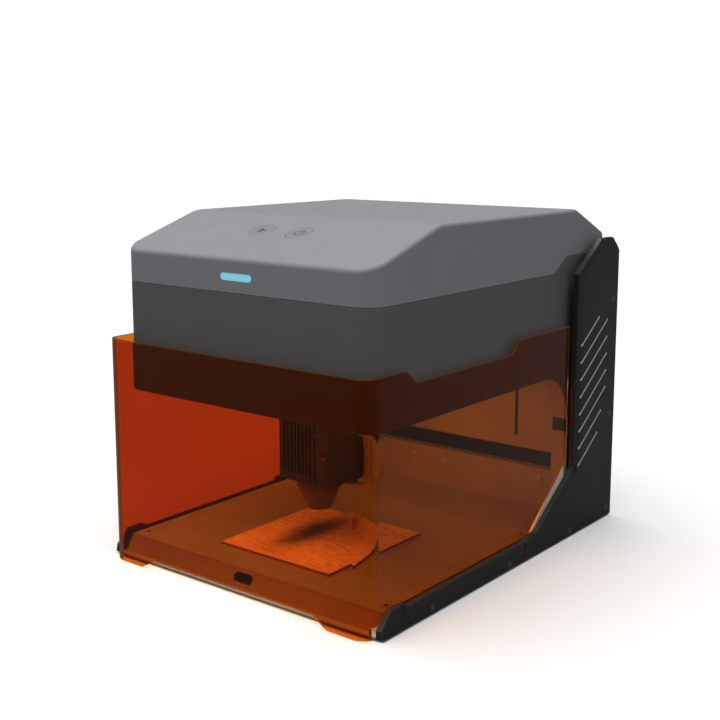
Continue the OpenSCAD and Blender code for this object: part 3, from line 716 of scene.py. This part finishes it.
@dataclass(frozen=True)
class Belt(Finish):
    """Timing belt: matt rubber with cord lines and a tooth pattern."""

    colour: tuple
    pitch: float = 2.0

    def shader(self, net: Net) -> bpy.types.Node:
        """Lay out the shader."""
        place = net.place()
        parts = net.add("SeparateXYZ", {0: place})
        along = net.plus(parts.outputs["X"], parts.outputs["Y"])
        teeth = net.remap(net.math("SINE", net.times(along, 2 * math.pi / (self.pitch * MM))),
                          -0.3, 0.3)
        fine = net.noise(place, 1600.0, 3.0)
        height = net.plus(net.times(teeth, 0.8), net.times(fine, 0.2))
        return net.add("BsdfPrincipled", {
            "Base Color": net.mix(teeth, shade(self.colour, 0.6), shade(self.colour, 1.4)),
            "Roughness": 0.7, "Normal": net.relief(height, 0.25)})


@dataclass(frozen=True)
class Plywood(Finish):
    """Sanded plywood with a figured face, laminated edges darkened as painted shade, and a painted
    shadow of the head under the beam, drawn as a scorched spot.
    """

    pale: tuple
    dark: tuple
    low: float
    high: float
    shadow_centre: tuple

    def shader(self, net: Net) -> bpy.types.Node:
        """Lay out the shader."""
        place = net.place()
        lay = net.add("Mapping", {"Vector": place, "Rotation": (0, 0, 0.25),
                                  "Scale": (1.0, 7.0, 1.0)}).outputs[0]
        warp = net.noise(lay, 14.0, 4.0, 0.6)
        push = net.add("CombineXYZ", {0: net.times(warp, 0.05), 1: net.times(warp, 0.12)})
        bent = net.add("VectorMath", {0: lay, 1: push}, operation="ADD").outputs[0]
        rings = net.add("TexWave", {"Vector": bent, "Scale": 20.0, "Distortion": 6.0, "Detail": 4.0,
                                    "Detail Scale": 1.6}, bands_direction="Y").outputs["Fac"]
        drawn = net.add("Mapping", {"Vector": place, "Rotation": (0, 0, 0.25),
                                    "Scale": (1.0, 26.0, 1.0)}).outputs[0]
        pores = net.remap(net.noise(drawn, 95.0, 3.0), 0.56, 0.68)
        face = net.mix(net.remap(rings, 0.2, 0.9), self.pale, self.dark)
        face = net.mix(net.times(pores, 0.55), face, shade(self.dark, 0.55))
        depth = net.remap(net.add("SeparateXYZ", {0: place}).outputs["Z"], self.low * MM,
                          self.high * MM)
        layers = net.math("GREATER_THAN", net.math("FRACT", net.times(depth, 1.5)), 0.5)
        # The edges show the plies in much darker tones than the face: painted shade on the sides,
        # which the light does not reach. Faces that look up keep the face colours.
        side = net.mix(layers, shade(self.pale, 0.4), shade(self.dark, 0.3))
        normal = net.add("NewGeometry").outputs["Normal"]
        top = net.remap(net.add("SeparateXYZ", {0: normal}).outputs["Z"], 0.3, 0.8)
        face_over_shaded_sides = net.mix(top, side, face)
        # Painted shadow of the head: an elongated dark spot from under the nozzle towards the front
        # left, with a near-black core and a browner rim, drawn like a scorch mark.
        offset = net.add("VectorMath", {0: place, 1: [v * MM for v in self.shadow_centre]},
                         operation="SUBTRACT").outputs[0]
        shadow_frame = net.add("Mapping", {"Vector": offset, "Rotation": (0, 0, 0.33),
                                     "Scale": (1.3, 0.42, 1.0)}).outputs[0]
        reach = net.add("VectorMath", {0: shadow_frame}, operation="LENGTH").outputs["Value"]
        ragged = net.plus(reach, net.times(net.noise(place, 60.0, 6.0, 0.7), 0.022))
        shadow_core = net.remap(ragged, 0.034, 0.012)
        shadow_rim = net.remap(ragged, 0.050, 0.020)
        rim_shadowed = net.mix(net.times(shadow_rim, 0.6), face_over_shaded_sides, hexed("5A3216"))
        head_shadowed = net.mix(net.times(shadow_core, 0.85), rim_shadowed, hexed("120C09"))
        rough = net.plus(0.55, net.times(rings, 0.15))
        height = net.plus(net.times(rings, 0.5), net.times(pores, -0.6))
        return net.add("BsdfPrincipled", {"Base Color": head_shadowed, "Roughness": rough,
                                          "Normal": net.relief(height, 0.06)})


@dataclass(frozen=True)
class CircuitBoard(Finish):
    """Solder mask over copper traces, with tinned pads."""

    mask: tuple

    def shader(self, net: Net) -> bpy.types.Node:
        """Lay out the shader."""
        place = net.place()
        parts = net.add("SeparateXYZ", {0: place})
        depth = net.plus(parts.outputs["Z"], parts.outputs["Y"])
        flat = net.add("CombineXYZ", {0: parts.outputs["X"], 1: depth}).outputs[0]
        cells = net.add("TexVoronoi", {"Vector": flat, "Scale": 190.0, "Randomness": 0.6},
                        feature="DISTANCE_TO_EDGE", distance="CHEBYCHEV").outputs[0]
        traces = net.remap(cells, 0.04, 0.07, 1.0, 0.0)
        dots = net.add("TexVoronoi", {"Vector": flat, "Scale": 260.0, "Randomness": 0.3}).outputs[0]
        pads = net.remap(dots, 0.17, 0.21, 1.0, 0.0)
        colour = net.mix(traces, self.mask, shade(self.mask, 1.9))
        colour = net.mix(pads, colour, hexed("C9C4B4"))
        return net.add("BsdfPrincipled", {
            "Base Color": colour, "Roughness": net.plus(0.3, net.times(pads, 0.1)),
            "Metallic": pads, "Normal": net.relief(net.math("MAXIMUM", traces, pads), 0.04)})


@dataclass(frozen=True)
class Acrylic(Finish):
    """Clear tinted acrylic that lets the lamps through, with an optional glow that is painted
    light.
    """

    tint: tuple
    lamp_tint: tuple
    roughness: float = 0.0
    glow: float = 0.0
    specular: float = 0.12

    def shader(self, net: Net) -> bpy.types.Node:
        """Lay out the shader."""
        place = net.place()
        hair = net.mask(EFFECTS.scratches, place, Scale=22.0, Amount=0.6)
        smear = net.remap(net.noise(place, 22.0, 4.0), 0.4, 0.8)
        rough = net.plus(self.roughness, net.times(hair, 0.04))
        rough = net.plus(rough, net.times(smear, 0.01))
        colour = net.mix(smear, self.tint, shade(self.tint, 0.97))
        # The glow is an emission: painted light, standing in for the light that the polished edges
        # pick up.
        body = net.add("BsdfPrincipled", {
            "Base Color": colour, "Roughness": rough, "IOR": 1.49,
            "Specular IOR Level": self.specular,
            "Specular Tint": (0.5, 0.28, 0.18, 1), "Transmission Weight": 1.0,
            "Emission Color": self.tint, "Emission Strength": self.glow,
            "Normal": net.relief(net.noise(place, 5.0, 1.0), 0.02)})
        lamp = net.add("BsdfTransparent", {"Color": self.lamp_tint})
        ray = net.add("LightPath").outputs["Is Shadow Ray"]
        return net.add("MixShader", {0: ray, 1: body.outputs[0], 2: lamp.outputs[0]})


@dataclass(frozen=True)
class Lens(Finish):
    """Diffuse light pipe that glows."""

    colour: tuple
    strength: float

    def shader(self, net: Net) -> bpy.types.Node:
        """Lay out the shader."""
        place = net.place(move=(0, 0, 267.6))
        across = net.math("ABSOLUTE", net.add("SeparateXYZ", {0: place}).outputs["Z"])
        falloff = net.remap(across, 0.0005, 0.0033, 1.0, 0.72)
        frost = net.noise(place, 700.0, 3.0)
        glow = net.mix(falloff, shade(self.colour, 0.55), self.colour)
        return net.add("BsdfPrincipled", {
            "Base Color": self.colour, "Roughness": 0.3, "Emission Color": glow,
            "Emission Strength": self.strength, "Normal": net.relief(frost, 0.01)})


@dataclass(frozen=True)
class Paper(Finish):
    """Pale studio paper for the floor, which throws little light back at the machine."""

    colour: tuple
    bounce: float = 0.2

    def shader(self, net: Net) -> bpy.types.Node:
        """Lay out the shader."""
        fibres = net.noise(net.place(), 120.0, 4.0)
        seen = net.add("BsdfDiffuse",
                       {"Color": net.mix(fibres, shade(self.colour, 0.985), self.colour)})
        thrown = net.add("BsdfDiffuse", {"Color": shade(self.colour, self.bounce)})
        return net.add("MixShader", {0: net.direct(), 1: thrown.outputs[0], 2: seen.outputs[0]})


class Palette:
    """Every material slot of the record with its finish, each material built once."""

    FINISHES = {
        # The much lighter edge colour of this coat is partly a painted highlight along the chamfers
        # of the side plates.
        "black_steel": Painted("black_coat", (0.015, 0.015, 0.0155, 1), (0.16, 0.16, 0.165, 1),
                               roughness=0.42, dust=0.02),
        "frame_steel": Painted("frame_coat", (0.06, 0.06, 0.064, 1), (0.25, 0.25, 0.25, 1),
                               roughness=0.45),
        "panel_grey": Painted("wall_coat", (0.50, 0.49, 0.48, 1), (0.6, 0.6, 0.6, 1),
                              roughness=0.38, peel=420.0),
        "inner_grey": Painted("floor_coat", (0.12, 0.12, 0.125, 1), (0.3, 0.3, 0.3, 1),
                              roughness=0.5),
        "bare_aluminium": Metal("brushed_aluminium", (0.56, 0.56, 0.57, 1), roughness=0.36,
                                metallic=0.6),
        "dark_aluminium": Metal("blasted_anodised", (0.06, 0.058, 0.06, 1), roughness=0.5,
                                stretch=(1, 1, 1), lines=900.0, depth=0.01, metallic=0.6,
                                contrast=0.1),
        "steel": Metal("ground_steel", (0.62, 0.61, 0.6, 1), roughness=0.26, lines=110.0,
                       metallic=0.75),
        "black_plastic": Moulded("black_moulding", (0.02, 0.02, 0.021, 1), roughness=0.45),
        "shell_grey": Moulded("upper_moulding", (0.228, 0.236, 0.252, 1), roughness=0.58),
        "shell_dark": Moulded("lower_moulding", (0.108, 0.109, 0.114, 1), roughness=0.58,
                              depth=0.003),
        "button_grey": Moulded("button_moulding", (0.215, 0.218, 0.226, 1), roughness=0.5,
                               grain=3000.0),
        "status_cyan": Lens("status_glow", (0.20, 0.57, 0.70, 1), 0.52),
        "amber_acrylic": Acrylic("amber_sheet", (0.58, 0.14, 0.011, 1), (0.95, 0.75, 0.5, 1)),
        "rubber": Rubber("foot_rubber", (0.018, 0.018, 0.018, 1)),
        "belt": Belt("timing_belt", (0.02, 0.02, 0.021, 1)),
        # The last point is the centre of the painted shadow of the head on the sheet.
        "plywood": Plywood("basswood_ply", (0.94, 0.62, 0.38, 1), (0.60, 0.32, 0.16, 1), 17.7, 20.4,
                           (-12.0, -70.0, 20.4)),
        "circuit_board": CircuitBoard("solder_mask", (0.012, 0.11, 0.05, 1)),
        "brass": Metal("turned_brass", (0.72, 0.5, 0.2, 1), roughness=0.28, stretch=(12, 1, 12),
                       lines=90.0),
        "accent_grey": Moulded("line_paint", (0.55, 0.55, 0.53, 1), roughness=0.5, dust=0.0),
        "nozzle_plastic": Moulded("nozzle_moulding", (0.11, 0.085, 0.07, 1), roughness=0.34,
                                  depth=0.006),
    }
    EXTRAS = {
        # The edge finish glows a little: painted light along the polished edges of the cover.
        "amber_edge": Acrylic("amber_edge", (0.85, 0.42, 0.12, 1), (0.8, 0.4, 0.1, 1),
                              roughness=0.18, glow=0.05),
        # A darker grey for the floors of the engraved button signs: painted shade in the recesses.
        "sign_recess_shade": Moulded("icon_shade", (0.10, 0.101, 0.105, 1), roughness=0.6, dust=0.0),
        "dark_steel": Metal("dark_steel", (0.30, 0.30, 0.30, 1), roughness=0.24, lines=110.0),
        "zinc": Metal("zinc_plate", (0.86, 0.85, 0.82, 1), roughness=0.4, metallic=0.35),
        "filter": Belt("filter_mesh", (0.012, 0.012, 0.012, 1), pitch=1.2),
        "floor": Paper("floor_paper", (0.80, 0.80, 0.80, 1)),
    }

    def __init__(self) -> None:
        """Start with nothing built."""
        self._built: dict[str, bpy.types.Material] = {}

    def __getitem__(self, slot: str) -> bpy.types.Material:
        """The material of a record slot or an extra finish, built on first use."""
        if slot not in self._built:
            finish = self.FINISHES.get(slot) or self.EXTRAS[slot]
            self._built[slot] = finish.material()
        return self._built[slot]


PALETTE = Palette()


def refined(node: str, edge: float = 0.3, segments: int = 2, finish: str = "") -> Workpiece:
    """Copy a CAD node, round its edges, finish it and put it in the node's place.

    Args:
        node: the CAD node.
        edge: radius of the rounding.
        segments: facets across the rounding.
        finish: a finish other than that of the node's slot.

    Returns:
        The finished piece.
    """
    piece = Workpiece.of_node(node, node + "_piece")
    if edge > 0:
        piece.soften(edge, segments)
    piece.smooth()
    piece.dress(PALETTE[finish or NODE_SLOT[node]])
    return piece.install(NODE_BODY[node], NODE_SLOT[node], node)


# ---------- sub-assemblies ----------

@dataclass
class Housing:
    """Two-tone housing: upper shell with its controls, lower shell and floor."""

    half: float = 140.0
    front: float = -180.5
    rear: float = 192.0
    seam: float = 254.6
    seam_back: float = 269.4
    brow: float = 283.1
    crease: float = -91.5
    top: float = 312.5
    chamfer_y: float = 135.25
    chamfer_z: float = 287.0
    wall: float = 3.0
    corner: float = 20.0
    light_z: float = 267.6
    button_y: float = -126.0
    button_x: float = 21.0
    button_r: float = 12.0
    button_gap: float = 0.15
    light_half: float = 17.2
    light_r: float = 3.05
    light_gap: float = 0.1
    sign_depth: float = 0.5

    @property
    def slope(self) -> float:
        """Slope of the control face in degrees."""
        return math.degrees(math.atan2(self.top - self.brow, self.crease - self.front))

    @property
    def button_z(self) -> float:
        """Height of the control face at the buttons."""
        return self.brow + (self.button_y - self.front) * math.tan(math.radians(self.slope))

    def upper_shell(self) -> None:
        """Model the upper shell from its side outline."""
        outline = [(self.front, self.seam), (93.3, self.seam), (116.3, self.seam_back),
                   (self.rear, self.seam_back),
                   (self.rear, self.chamfer_z), (self.chamfer_y, self.top), (self.crease, self.top),
                   (self.front, self.brow)]
        shell = Workpiece.outline("upper_shell", [(-self.half, y, z) for y, z in outline],
                                  (2 * self.half, 0, 0))
        shell.bevel(self.corner, 14,
                    lambda e: abs(run(e).z) > ALONG and abs(mid(e).y - self.front) < NEAR)
        shell.bevel(6.0, 5, lambda e: abs(run(e).x) > ALONG and abs(mid(e).y - self.crease) < NEAR)
        shell.bevel(5.0, 5, lambda e: abs(run(e).x) > ALONG
                    and abs(mid(e).y - self.chamfer_y) < NEAR)
        shell.bevel(4.0, 4, lambda e: abs(run(e).z) > ALONG and mid(e).y > self.rear - NEAR)
        shell.bevel(3.6, 5, self._is_rim)
        shell.delete(lambda f: f.normal.z < -0.5)
        shell.modify("SOLIDIFY", thickness=self.wall * MM, offset=-1.0, use_even_offset=True)
        for side in (-1, 1):
            hole = Workpiece.disc("button_hole",
                                  (side * self.button_x, self.button_y, self.button_z),
                                  self.button_r + self.button_gap, 16.0, sides=64)
            shell.carve(hole.tilt(self.slope, (0, self.button_y, self.button_z)))
        shell.carve(self._pill("light_slot", self.light_gap, self.front - 6, 20.0))
        shell.soften(0.35, 2, 50.0).smooth(30.0).dress(PALETTE["shell_grey"])
        shell.install("frame", "shell_grey", "upper_housing")

    @staticmethod
    def _is_rim(edge: bmesh.types.BMEdge) -> bool:
        """Whether an edge joins a face that looks up to a wall."""
        if len(edge.link_faces) != 2:
            return False
        a, b = sorted(face.normal.z for face in edge.link_faces)
        return abs(a) < 0.2 and b > 0.6

    def _pill(self, name: str, grow: float, start: float, depth: float) -> Workpiece:
        """Start a bar with round ends, grown all round, that runs back from the front face."""
        half, radius = self.light_half + grow, self.light_r + grow
        bar = Workpiece.box(name, (-half, start, self.light_z - radius),
                            (half, start + depth, self.light_z + radius))
        return bar.bevel(radius * 0.999, 10, lambda e: abs(run(e).y) > ALONG)

    def status_lens(self) -> None:
        """Model the crowned lens of the status light."""
        lens = self._pill("status_lens", 0.0, self.front, 4.5)
        lens.inset(lambda f: f.normal.y < -0.9, 0.5)
        lens.bevel(0.4, 3, lambda e: abs(mid(e).y - self.front) < 0.01 and any(
            f.normal.y > -0.5 for f in e.link_faces))
        lens.smooth().dress(PALETTE["status_cyan"]).install("frame", "status_cyan", "status_light")

    def _cap(self, name: str, x: float) -> Workpiece:
        """Model a push button's cap and stem, still level.

        Args:
            name: its name.
            x: its place along X.

        Returns:
            The workpiece.
        """
        z = self.button_z
        cap = Workpiece.disc(name, (x, self.button_y, z - 1.6), self.button_r, 3.2, sides=64)
        cap.inset(lambda f: f.normal.z < -0.9, self.button_r - 2.5)
        cap.extrude(lambda f: f.normal.z < -0.9 and f.calc_area() < math.pi * (3 * MM) ** 2,
                    (0, 0, -5.0))
        return cap.bevel(0.35, 3, lambda e: mid(e).z > z - 0.01)

    def buttons(self) -> None:
        """Model the play and power buttons with their engraved signs."""
        y, z = self.button_y, self.button_z
        floor = z - self.sign_depth
        play, x = self._cap("play_cap", -self.button_x), -self.button_x
        triangle = [(x - 3.4, y - 4.6, floor), (x + 4.8, y, floor), (x - 3.4, y + 4.6, floor)]
        play.carve(Workpiece.outline("play_sign", triangle, (0, 0, 2)))
        self._finish_button(play, "play_button")
        power, x = self._cap("power_cap", self.button_x), self.button_x
        ring = Workpiece.disc("power_sign", (x, y, z + 0.5), 5.0, 2.0)
        ring.carve(Workpiece.disc("ring_core", (x, y, z + 0.5), 3.9, 4.0),
                   Workpiece.box("ring_gap", (x - 1.7, y + 2, z - 2), (x + 1.7, y + 8, z + 3)))
        bar = Workpiece.box("power_bar", (x - 0.6, y + 0.8, floor), (x + 0.6, y + 5.8, z + 1.5))
        power.carve(ring, bar)
        self._finish_button(power, "power_button")

    def _finish_button(self, piece: Workpiece, node: str) -> None:
        """Tilt a button onto the control face and finish it, with painted shade on the floors of
        its engraved sign.

        Args:
            piece: the level button.
            node: the CAD node it stands for, which is also its body.
        """
        z = self.button_z
        # The sunk floors of the sign get a darker grey: painted shade in the engraving.
        sunk = [polygon.index for polygon in piece.obj.data.polygons
                if polygon.normal.z > ALONG and z - 0.7 < polygon.center.z / MM < z - 0.3]
        piece.dress(PALETTE["button_grey"], PALETTE["sign_recess_shade"])
        piece.paint(1, lambda polygon: polygon.index in sunk)
        piece.tilt(self.slope, (0, self.button_y, z)).smooth()
        piece.install(node, "button_grey", node)

    def build(self) -> None:
        """Build and dress the whole housing."""
        self.upper_shell()
        self.status_lens()
        self.buttons()
        refined("lower_housing", 0.6, 3)
        refined("bottom_panel", 0.3)
        for node in ("button_board", "control_board", "board_standoffs"):
            refined(node, 0.12)


@dataclass
class Cover:
    """Bent amber cover: one sheet with two upright bends, cut-outs and polished edges."""

    half: float = 147.7
    front: float = -196.0
    rear: float = 112.5
    thick: float = 3.0
    bend: float = 15.0
    bottom: float = 0.2
    top: float = 203.9
    side_low: float = 9.8
    notch: float = 192.4
    feet: tuple = ((-112, -2.2), (-92, 8.8), (92, 8.8), (112, -2.2))
    reach: float = 160.0

    def build(self) -> None:
        """Model the sheet as a bent strip, cut its outline and finish it."""
        path = [(-self.half, self.rear, self.bottom), (-self.half, self.front, self.bottom),
                (self.half, self.front, self.bottom), (self.half, self.rear, self.bottom)]
        sheet = Workpiece.outline("amber_cover", path, closed=False)
        with sheet.editing(whole=True):
            Workpiece._extrude((0, 0, self.top - self.bottom))
        sheet.bevel(self.bend, 14,
                    lambda e: abs(run(e).z) > ALONG and abs(mid(e).y - self.front) < NEAR)
        with sheet.editing(whole=True):
            bpy.ops.mesh.normals_make_consistent(inside=False)
        outward = sum(p.normal.y for p in sheet.obj.data.polygons if abs(p.normal.x) < 0.1)
        sheet.modify("SOLIDIFY", thickness=self.thick * MM, offset=-1.0 if outward < 0 else 1.0,
                     use_even_offset=True)
        low = [(-188, -8), (-188, self.side_low), (33.1, self.side_low), (112.5, 74), (122, 81.7),
               (122, -8)]
        high = [(-147.1, 204.9), (-132.5, self.notch), (8, self.notch), (22.2, 204.9)]
        far = self.reach
        sheet.carve(
            Workpiece.outline("low_cut", [(-far, y, z) for y, z in low], (2 * far, 0, 0)),
            Workpiece.outline("high_cut", [(-far, y, z) for y, z in high], (2 * far, 0, 0)),
            Workpiece.outline("foot_cut", [(x, -201, z) for x, z in self.feet], (0, 16, 0)))
        sheet.soften(0.35, 2, 40.0).smooth(30.0)
        sheet.dress(PALETTE["amber_acrylic"], PALETTE["amber_edge"]).paint(1, self._is_edge)
        sheet.install("cover", "amber_acrylic", "cover")

    def _is_edge(self, polygon: bpy.types.MeshPolygon) -> bool:
        """Whether a face is one of the thin edges rather than the two broad sides."""
        place, normal = polygon.center / MM, polygon.normal
        if abs(normal.z) > 0.2:
            return True
        return place.y > self.rear - 0.5 and normal.y > 0.5


@dataclass
class SidePlates:
    """Black side plates with their accent lines, screws and the bars behind them."""

    def build(self) -> None:
        """Refine the plates and what is fixed to them."""
        for node in ("left_side_plate", "right_side_plate"):
            refined(node, 0.4, 3)
        refined("accent_lines", 0.12)
        refined("plate_screws", 0.2, finish="frame_steel")
        refined("frame_bars", 0.4)


@dataclass
class WorkArea:
    """Base, bed, sample sheet and feet."""

    low: tuple = (-59.4, -142.6, 17.7)
    high: tuple = (66.6, -14.0, 20.4)

    def sheet(self) -> None:
        """Model the plywood sheet with broken edges."""
        sheet = Workpiece.box("plywood_sheet", self.low, self.high)
        for step in range(1, 6):
            for axis, normal in ((0, (1, 0, 0)), (1, (0, 1, 0))):
                point = [0.0, 0.0, 0.0]
                point[axis] = self.low[axis] + (self.high[axis] - self.low[axis]) * step / 6
                sheet.bisect(point, normal, trim=False)
        sheet.soften(0.25, 2, 40.0).smooth().dress(PALETTE["plywood"]).install("frame", "plywood",
                                                                               "sample_sheet")

    def build(self) -> None:
        """Build the sheet and refine the rest."""
        self.sheet()
        refined("base_plate", 0.4)
        refined("work_bed", 0.25, 2)
        refined("bed_screws", 0.15)
        refined("rubber_feet", 0.3)


@dataclass
class RearColumn:
    """Legs, rear wall, rear beam, back panel and what is mounted on it."""

    def build(self) -> None:
        """Refine every piece of the column."""
        for node in ("rear_wall", "rear_beam", "left_leg_cover", "right_leg_cover", "back_panel"):
            refined(node, 0.4, 2)
        for node in ("interlock_sensors", "dc_inlet", "usb_port", "power_switch", "power_rocker"):
            refined(node, 0.2)
        for node in ("back_screws", "exhaust_fan_frame", "exhaust_fan_rotor"):
            refined(node, 0.2)
        refined("beam_screws", 0.2, finish="zinc")
        self.filter()

    def filter(self) -> None:
        """Model the round mesh filter in front of the fan."""
        disc = Workpiece.disc("fan_filter", (-70.0, 176.4, 70.0), 39.4, 0.8, Axis.Y, 64)
        disc.inset(lambda f: abs(f.normal.y) > 0.9, 1.6, -0.2).smooth().dress(PALETTE["filter"])
        disc.install("frame", "black_plastic")


@dataclass
class LaserHead:
    """Finned module, bracket, nozzle, fan, lever and air line."""

    centre: tuple = (3.0, -79.5)
    tip_z: float = 49.4

    def nozzle(self) -> None:
        """Lathe the nozzle from its half outline."""
        x, y = self.centre
        outline = [(4.0, 0.0), (10.1, 0.0), (11.1, 0.3), (11.5, 1.2), (19.6, 20.4), (20.0, 21.4),
                   (20.0, 26.4),
                   (19.5, 27.0), (17.6, 27.0), (17.6, 21.0), (9.1, 2.6), (8.1, 2.0), (4.0, 2.0)]
        points = [(x + r, y, self.tip_z + z) for r, z in outline]
        nozzle = Workpiece.outline("nozzle_cone", points + [points[0]], closed=False)
        nozzle.spin((x, y, 0), 64)
        port = Workpiece.disc("air_port", (x + 18.5, -66, 73.4), 2.06, 23, Axis.X, 24)
        nozzle.carve(port).soften(0.2, 2, 50.0).smooth(30.0).dress(PALETTE["nozzle_plastic"])
        nozzle.install("laser_head", "nozzle_plastic", "nozzle")

    def build(self) -> None:
        """Build the nozzle and refine the rest of the head."""
        self.nozzle()
        refined("laser_heatsink", 0.3, 2)
        refined("laser_bracket", 0.4, 2)
        for node in ("laser_core", "head_fan_frame", "head_fan_rotor", "air_line", "focus_knob"):
            refined(node, 0.2)
        refined("focus_lever", 0.2, finish="dark_aluminium")
        refined("head_screws", 0.2, finish="dark_steel")


@dataclass
class Drives:
    """Gantry, rods, belts, pulleys, motors and their brackets."""

    def build(self) -> None:
        """Refine every piece of the two drives."""
        for node in ("y_rods", "y_rod_brackets", "y_belts", "y_idlers", "y_axle_brackets",
                     "y_motor", "y_motor_mount",
                     "y_drive_shaft", "gantry_beam", "x_rail", "x_belt", "x_idler", "x_idler_bolt",
                     "x_motor",
                     "x_motor_pulley", "carriage"):
            refined(node, 0.25)


class LampKind(Enum):
    """The kinds of lamp that the studio uses."""

    AREA = "AREA"
    SUN = "SUN"


@dataclass(frozen=True)
class Lamp:
    """A lamp: its place and aim in metres, and its edge in metres or a sun's angle in radians."""

    name: str
    kind: LampKind
    energy: float
    place: tuple
    aim: tuple
    size: float
    hidden: bool = False

    def hang(self) -> None:
        """Hang the lamp and aim it."""
        data = bpy.data.lights.new(self.name, self.kind.value)
        data.energy = self.energy
        if self.kind is LampKind.SUN:
            data.angle = self.size
        else:
            data.shape = "SQUARE"
            data.size = self.size
        lamp = bpy.data.objects.new(self.name, data)
        lamp.location = self.place
        aim = Vector(self.aim) - Vector(self.place)
        lamp.rotation_euler = aim.to_track_quat("-Z", "Y").to_euler()
        lamp.visible_camera = lamp.visible_glossy = not self.hidden
        bpy.context.scene.collection.objects.link(lamp)


@dataclass
class Studio:
    """Pale floor, soft light and the camera."""

    place: tuple = (0.6475, -0.837, 0.3824)
    tilt: float = 80.73
    turn: float = 38.33
    lens: float = 57.03
    shift: float = -0.0556
    sky: float = 0.32
    sky_seen: float = 0.75
    sky_mirrored: float = 0.17
    lamps: tuple = (
        Lamp("overhead", LampKind.SUN, 3.2, (-0.3, -0.2, 3.0), (0, 0, 0), math.radians(70)),
        Lamp("front_fill", LampKind.AREA, 1.0, (-0.9, -1.6, 0.9), (0, 0, 0.1), 1.4),
        Lamp("side_fill", LampKind.AREA, 3.1, (1.8, -0.6, 0.9), (0, 0, 0.15), 1.4),
        Lamp("chamber_light", LampKind.AREA, 0.50, (-0.008, -0.146, 0.155), (-0.008, -0.14, 0.0),
             0.2, True),
        Lamp("wall_light", LampKind.AREA, 0.17, (0.02, 0.03, 0.160), (0.03, 0.17, 0.07), 0.12,
             True))

    def floor(self) -> None:
        """Lay a wide floor under the machine."""
        clear_selection()
        bpy.ops.mesh.primitive_plane_add(size=60.0, location=(0, 0, -0.0002))
        floor = Workpiece.adopt("studio_floor")
        floor.dress(PALETTE["floor"])

    def lights(self) -> None:
        """Hang the lamps and set a pale surround, dimmer in reflections than to the eye."""
        for lamp in self.lamps:
            lamp.hang()
        world = bpy.data.worlds.new("surround")
        world.use_nodes = True
        world.node_tree.nodes.clear()
        net = Net(world.node_tree)
        mirrored = net.math("GREATER_THAN", net.add("LightPath").outputs["Glossy Depth"], 0.5)
        strength = net.plus(self.sky, net.times(net.direct(), self.sky_seen))
        strength = net.math("SUBTRACT", strength, net.times(mirrored, self.sky_mirrored))
        sky = net.add("Background", {"Color": (1, 1, 1, 1), "Strength": strength})
        net.add("OutputWorld", {0: sky})
        bpy.context.scene.world = world
        bpy.context.scene.view_settings.view_transform = "Standard"
        bpy.context.scene.view_settings.look = "None"

    def camera(self) -> None:
        """Set the camera."""
        data = bpy.data.cameras.new("view")
        data.lens = self.lens
        data.sensor_width = 36.0
        data.shift_y = self.shift
        data.clip_start = 0.01
        camera = bpy.data.objects.new("view", data)
        camera.location = self.place
        camera.rotation_euler = (math.radians(self.tilt), 0.0, math.radians(self.turn))
        bpy.context.scene.collection.objects.link(camera)
        bpy.context.scene.camera = camera

    def build(self) -> None:
        """Build the whole studio."""
        self.camera()
        self.floor()
        self.lights()


def main() -> None:
    """Build the studio and every sub-assembly in order."""
    logging.basicConfig(level=logging.INFO, format="%(name)s: %(message)s")
    for assembly in (Studio(), Housing(), Cover(), SidePlates(), WorkArea(), RearColumn(),
                     LaserHead(), Drives()):
        assembly.build()
        LOG.info("%s ready", type(assembly).__name__)


if __name__ == "__main__":
    main()
